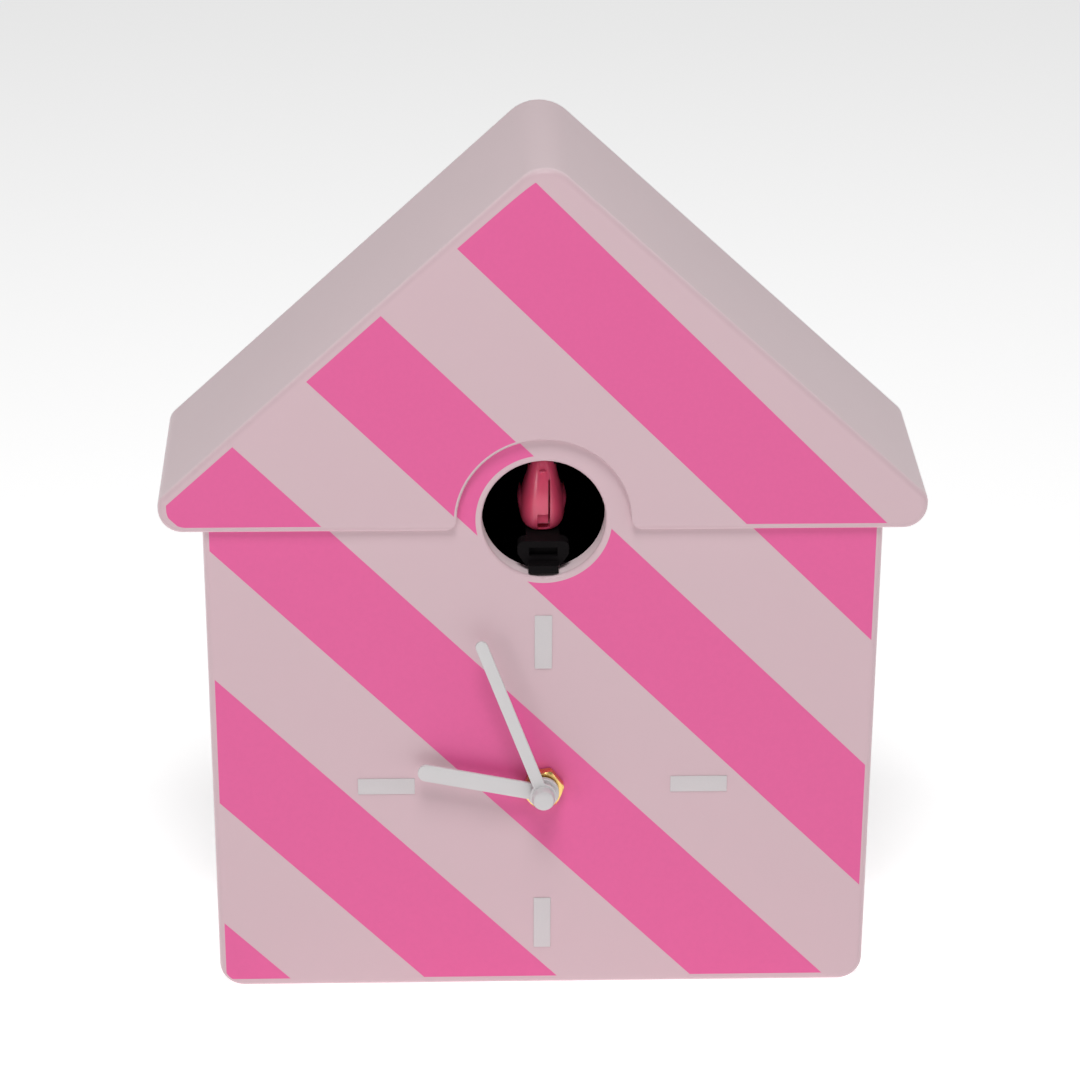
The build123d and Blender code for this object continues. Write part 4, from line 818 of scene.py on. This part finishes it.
class CLOCK_OT_dial_nut(bpy.types.Operator):
    """Finish the brass nut, threaded bush and rubber washer that hold the movement"""

    bl_idname = "clock.dial_nut"
    bl_label = "Dial Nut"

    def execute(self, context):
        coat("brass", "hex_nut", "threaded_bush")
        coat("washer", "bush_washer")
        return {"FINISHED"}


# Height above the foot, half width, breast and back depth of the bird's sections, in millimetres.
BIRD_SECTIONS = (
    (0.0, 4.6, 1.6, 19.0), (0.5, 5.7, 0.9, 20.2), (1.6, 6.5, 0.3, 21.2), (4.0, 7.0, 0.0, 22.0),
    (7.0, 6.95, 0.0, 22.0), (10.0, 6.3, 0.2, 20.5), (12.5, 5.6, 0.6, 18.0), (15.0, 4.95, 1.1, 15.5),
    (17.5, 4.4, 1.7, 13.8), (19.5, 4.0, 2.4, 12.8), (21.5, 3.5, 3.3, 12.0), (23.2, 2.7, 4.6, 11.0),
    (24.4, 1.6, 6.2, 9.8), (25.0, 0.5, 7.6, 8.6),
)


def bird_form(segments=40, squareness=0.8):
    """The bird's body as one closed skin: a ring for each section, bridged from the foot up."""
    bm = bmesh.new()
    rings = []
    for height, half, breast, back in BIRD_SECTIONS:
        loop = bmesh.ops.create_circle(bm, segments=segments, radius=1.0)["verts"]
        middle = BIRD_LOW.y + (breast + back) / 2 * MM
        depth = (back - breast) / 2
        for vert in loop:
            across, along = vert.co.x, vert.co.y
            vert.co.x = math.copysign(abs(across) ** squareness, across) * half * MM
            vert.co.y = middle + math.copysign(abs(along) ** squareness, along) * depth * MM
            vert.co.z = BIRD_FOOT_Z + height * MM
        rings.append(loop)
    edges = [list({e for v in loop for e in v.link_edges}) for loop in rings]
    for lower, upper in zip(edges, edges[1:]):
        bmesh.ops.bridge_loops(bm, edges=lower + upper)
    for loop in (edges[0], edges[-1]):
        bmesh.ops.edgeloop_fill(bm, edges=loop)
    bmesh.ops.recalc_face_normals(bm, faces=bm.faces)
    return bm


class CLOCK_OT_bird(bpy.types.Operator):
    """Model the bird: two moulded halves with a slit breast, beak, eyes, layered wings and tail"""

    bl_idname = "clock.bird"
    bl_label = "Bird"

    def execute(self, context):
        shapes = context.scene.clock_shapes
        slit_x = shapes.slit_x
        whole = finished("bird_whole", bird_form(), "bird", "bird", crease=60.0)
        rounding = whole.modifiers.new("rounding", "SUBSURF")
        rounding.levels = rounding.render_levels = 1
        settled(whole)
        half_slit = shapes.slit / 2
        front = BIRD_LOW.y
        slit = bmesh.new()
        block(slit, (slit_x - half_slit, front - 2 * MM, BIRD_FOOT_Z + 1.0 * MM),
              (slit_x + half_slit, front + 4.5 * MM, BIRD_FOOT_Z + 16.2 * MM), 0.25 * MM)
        cut(whole, slit)
        for deep, top in ((0.9 * MM, 5.7 * MM), (5.0 * MM, 2.6 * MM)):
            notch = bmesh.new()
            block(notch, (slit_x - 3.5 * MM, front - 2 * MM, BIRD_FOOT_Z + 0.9 * MM),
                  (slit_x + 0.1 * MM, front + deep, BIRD_FOOT_Z + top), 0.3 * MM)
            cut(whole, notch)
        for side, name, node in ((-1, "bird_half_left", "bird_left"), (1, "bird_half_right", "bird_right")):
            bm = bmesh.new()
            bm.from_mesh(whole.data)
            plane = Vector((slit_x + side * 0.02 * MM, 0, 0))
            bmesh.ops.bisect_plane(bm, geom=bm.verts[:] + bm.edges[:] + bm.faces[:], plane_co=plane,
                                   plane_no=(side, 0, 0), clear_inner=True)
            bmesh.ops.holes_fill(bm, edges=[e for e in bm.edges if e.is_boundary], sides=0)
            finished(name, bm, "bird", "bird", (node,), 38.0)
        bpy.data.objects.remove(whole)
        self.face()
        self.wings()
        self.tail()
        return {"FINISHED"}

    def face(self):
        """Beak and eyes."""
        front = BIRD_LOW.y
        beak = bmesh.new()
        part = bmesh.new()
        bmesh.ops.create_uvsphere(part, u_segments=32, v_segments=16, radius=1.0)
        bmesh.ops.scale(part, vec=(1.6 * MM, 2.4 * MM, 0.8 * MM), verts=part.verts)
        joined(beak, part, Matrix.Translation((0, front + 3.9 * MM, BIRD_FOOT_Z + 18.9 * MM))
               @ Matrix.Rotation(math.radians(12), 4, "X"))
        finished("bird_bill", beak, "bird", "bird", ("bird_beak",))
        eyes = bmesh.new()
        for side in (-1, 1):
            part = bmesh.new()
            bmesh.ops.create_uvsphere(part, u_segments=20, v_segments=12, radius=0.75 * MM)
            bmesh.ops.scale(part, vec=(0.5, 1.0, 1.0), verts=part.verts)
            joined(eyes, part, Matrix.Translation((side * 3.55 * MM, front + 5.6 * MM,
                                                   BIRD_FOOT_Z + 20.2 * MM)))
        finished("bird_eyes", eyes, "bird", "eye", ())

    def wings(self):
        """Three overlapping layers of feathers on each side."""
        low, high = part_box("bird_wings")
        bm = bmesh.new()
        middle = (low.y + high.y) / 2
        height = BIRD_FOOT_Z + 6.4 * MM
        for side in (-1, 1):
            for layer in range(3):
                size = 1.0 - 0.22 * layer
                part = bmesh.new()
                bmesh.ops.create_uvsphere(part, u_segments=28, v_segments=16, radius=1.0)
                half = (0.6 * MM, 7.2 * MM * size, 4.4 * MM * size)
                bmesh.ops.scale(part, vec=half, verts=part.verts)
                turn = Matrix.Rotation(side * math.radians(-2), 4, "Z")
                place = (side * (6.5 + 0.14 * layer) * MM, middle - layer * MM, height + 0.5 * layer * MM)
                joined(bm, part, Matrix.Translation(place) @ turn)
        finished("bird_feathers", bm, "bird", "bird", ("bird_wings",), 60.0)

    def tail(self):
        """Three tapered tail feathers."""
        low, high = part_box("bird_tail")
        bm = bmesh.new()
        for turn in (-1, 0, 1):
            part = bmesh.new()
            bmesh.ops.create_cube(part, size=1.0)
            bmesh.ops.scale(part, vec=(2.0 * MM, high.y - low.y, 1.2 * MM), verts=part.verts)
            tips = [v for v in part.verts if v.co.y > 0]
            bmesh.ops.scale(part, vec=(1.25, 1.0, 0.6), verts=tips)
            bmesh.ops.bevel(part, geom=part.edges[:], offset=0.4 * MM, offset_type="OFFSET", segments=3,
                            profile=0.5, affect="EDGES", material=-1)
            middle_z = (low.z + high.z) / 2 - abs(turn) * 0.3 * MM
            place = Matrix.Translation((turn * 1.2 * MM, (low.y + high.y) / 2, middle_z))
            joined(bm, part, place @ Matrix.Rotation(-turn * math.radians(7), 4, "Z"))
        finished("bird_tail_feathers", bm, "bird", "bird", ("bird_tail",), 40.0)


class CLOCK_OT_bird_drive(bpy.types.Operator):
    """Finish the sliding carriage, guide rods, chassis, gears and motor"""

    bl_idname = "clock.bird_drive"
    bl_label = "Bird Drive"

    def execute(self, context):
        coat("black", "cuckoo_chassis", "bird_hood")
        carriage = clean_copy("bird_carriage", "carriage", "bird", "black")
        # The saddle's lower front corners are cut at a slant, so they don't show under the bird's feet.
        saddle_z = BIRD_FOOT_Z - 7.2 * MM
        for side in (-1, 1):
            corner = bmesh.new()
            bmesh.ops.create_cube(corner, size=1.0)
            bmesh.ops.scale(corner, vec=(6 * MM, 6 * MM, 9 * MM), verts=corner.verts)
            turn = Matrix.Rotation(side * math.radians(33), 4, "Y")
            place = Matrix.Translation((side * 9.1 * MM, BIRD_LOW.y - 4.5 * MM, saddle_z))
            bmesh.ops.transform(corner, matrix=place @ turn, verts=corner.verts)
            cut(carriage, corner)
        coat("bright", "guide_rods", "chassis_screws")
        coat("nylon", "drive_gear", "motor_gear")
        low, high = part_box("cuckoo_motor")
        bm = bmesh.new()
        radius = (high.y - low.y) / 2
        middle = ((low.y + high.y) / 2, (low.z + high.z) / 2)
        flat = (high.z - low.z) / 2
        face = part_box("cuckoo_chassis")[1].x - 8 * MM
        pin(bm, radius, 0.0, high.x - 1.5 * MM - face, along_x(face, *middle), 0.8 * MM, 64)
        for side in (-1, 1):
            plane = Vector((0, 0, middle[1] + side * flat))
            bmesh.ops.bisect_plane(bm, geom=bm.verts[:] + bm.edges[:] + bm.faces[:], plane_co=plane,
                                   plane_no=(0, 0, side), clear_outer=True)
            bmesh.ops.holes_fill(bm, edges=[e for e in bm.edges if e.is_boundary], sides=0)
        pin(bm, 2.5 * MM, 0.0, 1.5 * MM, along_x(high.x - 1.5 * MM, *middle), 0.3 * MM)
        ring(bm, MOTOR_SHAFT_R, MOTOR_BEARING_R, 0.0, face - low.x, along_x(low.x, *middle))
        for side in (-1, 1):
            block(bm, (high.x - 1.6 * MM, middle[0] + side * 6 * MM - 0.9 * MM, middle[1] - 0.25 * MM),
                  (high.x - 0.1 * MM, middle[0] + side * 6 * MM + 0.9 * MM, middle[1] + 0.25 * MM), 0.1 * MM)
        finished("drive_motor", bm, "housing", "zinc", ("cuckoo_motor",))
        return {"FINISHED"}


class CLOCK_OT_movement(bpy.types.Operator):
    """Finish the quartz movement: case, lid, wheels, coil, stator and setting knob"""

    bl_idname = "clock.movement"
    bl_label = "Movement"

    def execute(self, context):
        coat("case", "movement_case", "movement_lid")
        coat("nylon", "hour_wheel", "motion_wheel", "centre_wheel", "third_wheel", "seconds_wheel",
             "step_wheel", "rotor", "train_bridge")
        coat("bright", "minute_arbor")
        coat("zinc", "stator")
        coat("copper", "coil")
        coat("board", "movement_board")
        coat("knob", "setting_knob")
        return {"FINISHED"}


def dry_cell(bm, low, high, direction):
    """A round cell along X: sleeve with rolled ends, raised cap at one end, dished base at the other."""
    radius = (high.z - low.z) / 2
    size = high.x - low.x
    middle = (low + high) / 2
    body = size - CELL_TIP
    sleeve = 0.25 * MM
    profile = [(0.0, 0.25 * MM), (radius * 0.62, 0.25 * MM), (radius * 0.68, 0.0), (radius - 0.9 * MM, 0.0),
               (radius - 0.45 * MM, 0.1 * MM), (radius - 0.1 * MM, 0.45 * MM), (radius, 1.0 * MM),
               (radius, body - 1.2 * MM), (radius - 0.12 * MM, body - 0.6 * MM),
               (radius - 0.5 * MM, body - sleeve), (radius - 1.1 * MM, body),
               (radius - 1.4 * MM, body - 0.35 * MM), (3.1 * MM, body - 0.35 * MM),
               (2.7 * MM, body - 0.2 * MM), (2.6 * MM, size - 0.35 * MM), (2.3 * MM, size), (0.0, size)]
    start = middle.x - direction * size / 2
    place = along_x(start, middle.y, middle.z)
    if direction < 0:
        place = Matrix.Translation((start, middle.y, middle.z)) @ Matrix.Rotation(-math.pi / 2, 4, "Y")
    turned(bm, profile, place, 56)


class CLOCK_OT_cells(bpy.types.Operator):
    """Model the dry cells, their contact plates and coil springs, and finish the tray"""

    bl_idname = "clock.cells"
    bl_label = "Cells and Contacts"

    def execute(self, context):
        low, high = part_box("movement_cell")
        bm = bmesh.new()
        dry_cell(bm, low, high, 1)
        finished("movement_dry_cell", bm, "housing", "cell", ("movement_cell",), 30.0)
        self.contacts("movement_springs", "movement_contacts", [(low, high, 1)])
        low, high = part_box("tray_cells")
        radius = (high.y - low.y) / 2
        bm = bmesh.new()
        rows = []
        for row, direction in ((0, -1), (1, 1)):
            bottom = low.z if row == 0 else high.z - 2 * radius
            corner_low = Vector((low.x, low.y, bottom))
            corner_high = Vector((high.x, high.y, bottom + 2 * radius))
            dry_cell(bm, corner_low, corner_high, direction)
            rows.append((corner_low, corner_high, direction))
        finished("tray_dry_cells", bm, "housing", "cell", ("tray_cells",), 30.0)
        self.contacts("tray_springs", "tray_contacts", rows)
        coat("case", "battery_tray")
        return {"FINISHED"}

    def contacts(self, name, node, rows):
        """A flat plate at each cap and a plate with a coil spring at each base."""
        bm = bmesh.new()
        low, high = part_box(node)
        wire = 0.25 * MM
        for cell_low, cell_high, direction in rows:
            middle = (cell_low + cell_high) / 2
            for side in (-1, 1):
                outer = high.x if side > 0 else low.x
                inner = outer - side * 0.3 * MM
                x0, x1 = sorted((inner, outer))
                block(bm, (x0, middle.y - 4 * MM, middle.z - 5 * MM),
                      (x1, middle.y + 4 * MM, middle.z + 5 * MM), 0.1 * MM)
                gap = abs(inner - (cell_high.x if side > 0 else cell_low.x))
                if side == -direction and gap > 3 * wire:
                    turn = Matrix.Rotation(-side * math.pi / 2, 4, "Y")
                    place = Matrix.Translation((inner, middle.y, middle.z)) @ turn
                    coil_spring(bm, 3.2 * MM, wire, 1.5, gap - 2 * wire, place)
                else:
                    x0, x1 = sorted((inner, inner - side * (gap - 0.02 * MM)))
                    block(bm, (x0, middle.y - 1.6 * MM, middle.z - 1.6 * MM),
                          (x1, middle.y + 1.6 * MM, middle.z + 1.6 * MM), 0.15 * MM)
        finished(name, bm, "housing", "bright", (node,))


class CLOCK_OT_back(bpy.types.Operator):
    """Finish the rear cover, battery door, hinge pins, screws and hanger"""

    bl_idname = "clock.back"
    bl_label = "Back"

    def execute(self, context):
        coat("back", "rear_cover", "battery_door")
        coat("bright", "door_hinge_pins")
        coat("zinc", "cover_screws", "hanger_plate", "hanger_rivets")
        return {"FINISHED"}


class CLOCK_OT_sound(bpy.types.Operator):
    """Model the speaker's cone and magnet and the board's small parts, and finish the controls"""

    bl_idname = "clock.sound"
    bl_label = "Sound Parts"

    def execute(self, context):
        coat("zinc", "speaker_basket", "board_screws")
        coat("board", "sound_board")
        coat("chip", "sound_chip")
        coat("knob", "switch_housing", "mode_slider", "button_base", "test_button", "volume_pot",
             "volume_knob")
        self.cone()
        self.board_parts()
        return {"FINISHED"}

    def cone(self):
        """Dust cap, cone and rolled surround in one pressing; the magnet behind it."""
        low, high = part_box("speaker_cone")
        bm = bmesh.new()
        outer = (high.x - low.x) / 2
        middle = ((low.x + high.x) / 2, (low.z + high.z) / 2)
        wall = 0.35 * MM
        depth = high.y - low.y
        rim = outer * 0.86
        skin = [(0.0, depth * 0.42), (outer * 0.14, depth * 0.38), (outer * 0.28, depth * 0.2),
                (outer * 0.31, wall)]
        roll = [(rim + (outer - rim) * i / 6, depth - 0.7 * MM + 0.6 * MM * math.sin(math.pi * i / 6))
                for i in range(1, 7)]
        skin += [(rim, depth - 0.7 * MM), *roll]
        under = [(radius, height - wall) for radius, height in reversed(skin)]
        place = backwards(middle[0], low.y, middle[1])
        turned(bm, skin + under, place, 56)
        finished("speaker_diaphragm", bm, "housing", "cone", ("speaker_cone",), 40.0)
        low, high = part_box("speaker_magnet")
        bm = bmesh.new()
        radius = (high.x - low.x) / 2
        height = high.y - low.y
        place = backwards(middle[0], low.y, middle[1])
        turned(bm, [(0, 0.4 * MM), (radius * 0.35, 0.4 * MM), (radius * 0.4, 0), (radius * 0.8, 0),
                    (radius * 0.84, 0.15 * MM), (radius * 0.86, height * 0.24),
                    (radius * 0.97, height * 0.26), (radius, height * 0.3), (radius, height * 0.8),
                    (radius * 0.97, height * 0.84), (radius * 0.97, height), (0, height)], place, 56)
        finished("speaker_motor", bm, "housing", "magnet", ("speaker_magnet",), 30.0)

    def board_parts(self):
        """Capacitors and resistors on the sound board's free face, and small leads along the chip's edges.
        """
        low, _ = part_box("sound_board")
        chip_low, chip_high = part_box("sound_chip")
        face = low.y
        cans = bmesh.new()
        for dx, dz, radius, height in ((-12, 6, 2.5, 5.0), (-5.5, 9, 2.0, 4.6), (9, 8, 3.1, 5.4)):
            place = along_y(chip_low.x + 5 * MM + dx * MM, face, chip_high.z + dz * MM)
            r, h = radius * MM, height * MM
            turned(cans, [(0, 0), (r, 0), (r, 0.5 * MM), (r * 0.93, 0.7 * MM), (r, 0.95 * MM),
                          (r, h - 0.3 * MM), (r * 0.9, h), (r * 0.75, h), (r * 0.72, h - 0.12 * MM),
                          (0, h - 0.12 * MM)], place, 32)
        finished("board_capacitors", cans, "housing", "magnet", (), 30.0)
        small = bmesh.new()
        for i in range(8):
            x = low.x + (5.5 + 4.2 * i) * MM
            z = low.z + (3.2 + 1.2 * (i % 2)) * MM
            block(small, (x, face - 0.55 * MM, z), (x + 2.0 * MM, face, z + 1.2 * MM), 0.12 * MM)
        for i in range(5):
            for side in (-1, 1):
                x = chip_low.x + (1.2 + 1.9 * i) * MM
                z = chip_low.z - 0.9 * MM if side < 0 else chip_high.z
                block(small, (x, face - 0.3 * MM, z), (x + 0.5 * MM, face, z + 0.9 * MM), 0.06 * MM)
        finished("board_small_parts", small, "housing", "solder", ())


class CLOCK_OT_stage(bpy.types.Operator):
    """Set the camera, the pale floor and the soft lights"""

    bl_idname = "clock.stage"
    bl_label = "Stage"

    def execute(self, context):
        stage = context.scene.clock_stage
        self.camera(context, stage)
        self.floor(context, stage)
        self.light(context, stage)
        context.scene.view_settings.view_transform = "Standard"
        return {"FINISHED"}

    def camera(self, context, stage):
        data = bpy.data.cameras.new("clock_camera")
        data.lens = stage.lens
        data.clip_end = 50.0
        camera = bpy.data.objects.new("clock_camera", data)
        context.scene.collection.objects.link(camera)
        turn = Matrix.Rotation(-stage.yaw, 4, "Z") @ Matrix.Rotation(math.pi / 2 - stage.pitch, 4, "X")
        camera.matrix_world = Matrix.Translation(stage.place) @ turn @ Matrix.Rotation(stage.roll, 4, "Z")
        context.scene.camera = camera

    def floor(self, context, stage):
        bm = bmesh.new()
        bmesh.ops.create_grid(bm, x_segments=1, y_segments=1, size=stage.floor_size / 2)
        mesh = bpy.data.meshes.new("floor")
        bm.to_mesh(mesh)
        bm.free()
        floor = bpy.data.objects.new("floor", mesh)
        context.scene.collection.objects.link(floor)
        paint = Finish("floor_white", (0.92, 0.92, 0.92), 0.9, emission_color=(1.0, 1.0, 1.0, 1.0),
                       emission_strength=stage.floor_glow)
        paint.bump(paint.noise(60.0, 2.0), 0.02, 0.1)
        mesh.materials.append(paint.material)

    def light(self, context, stage):
        world = bpy.data.worlds.new("studio")
        world.use_nodes = True
        sky = world.node_tree.nodes["Background"]
        sky.inputs["Color"].default_value = (1.0, 1.0, 1.0, 1.0)
        sky.inputs["Strength"].default_value = stage.sky
        context.scene.world = world
        for name, place, width, share in PANELS:
            data = bpy.data.lights.new(name, "AREA")
            data.shape = "SQUARE"
            data.size = width
            data.energy = stage.key * share
            lamp = bpy.data.objects.new(name, data)
            context.scene.collection.objects.link(lamp)
            aim = (Vector(LIGHTS_AIM) - Vector(place)).to_track_quat("-Z", "Y")
            lamp.matrix_world = Matrix.Translation(place) @ aim.to_matrix().to_4x4()


OPERATORS = (CLOCK_OT_housing, CLOCK_OT_marks, CLOCK_OT_hands, CLOCK_OT_dial_nut, CLOCK_OT_bird,
             CLOCK_OT_bird_drive, CLOCK_OT_movement, CLOCK_OT_cells, CLOCK_OT_back, CLOCK_OT_sound,
             CLOCK_OT_stage)


class CLOCK_PT_panel(bpy.types.Panel):
    """Lists the clock's sizes, colours and building steps"""

    bl_idname = "CLOCK_PT_panel"
    bl_label = "Cuckoo Clock"
    bl_space_type = "VIEW_3D"
    bl_region_type = "UI"
    bl_category = "Clock"

    def draw(self, context):
        for group in GROUPS:
            box = self.layout.box()
            box.label(text=group.replace("_", " ").capitalize())
            settings = getattr(context.scene, group)
            for name in settings.bl_rna.properties.keys():
                if name not in ("rna_type", "name"):
                    box.prop(settings, name)
        for operator in OPERATORS:
            self.layout.operator(operator.bl_idname)


def register():
    for kind in (*GROUPS.values(), *OPERATORS, CLOCK_PT_panel):
        bpy.utils.register_class(kind)
    for name, kind in GROUPS.items():
        setattr(bpy.types.Scene, name, PointerProperty(type=kind))


def unregister():
    for name in GROUPS:
        delattr(bpy.types.Scene, name)
    for kind in reversed((*GROUPS.values(), *OPERATORS, CLOCK_PT_panel)):
        bpy.utils.unregister_class(kind)


def main():
    register()
    make_materials()
    for operator in OPERATORS:
        group, name = operator.bl_idname.split(".")
        getattr(getattr(bpy.ops, group), name)()


if __name__ == "__main__":
    main()
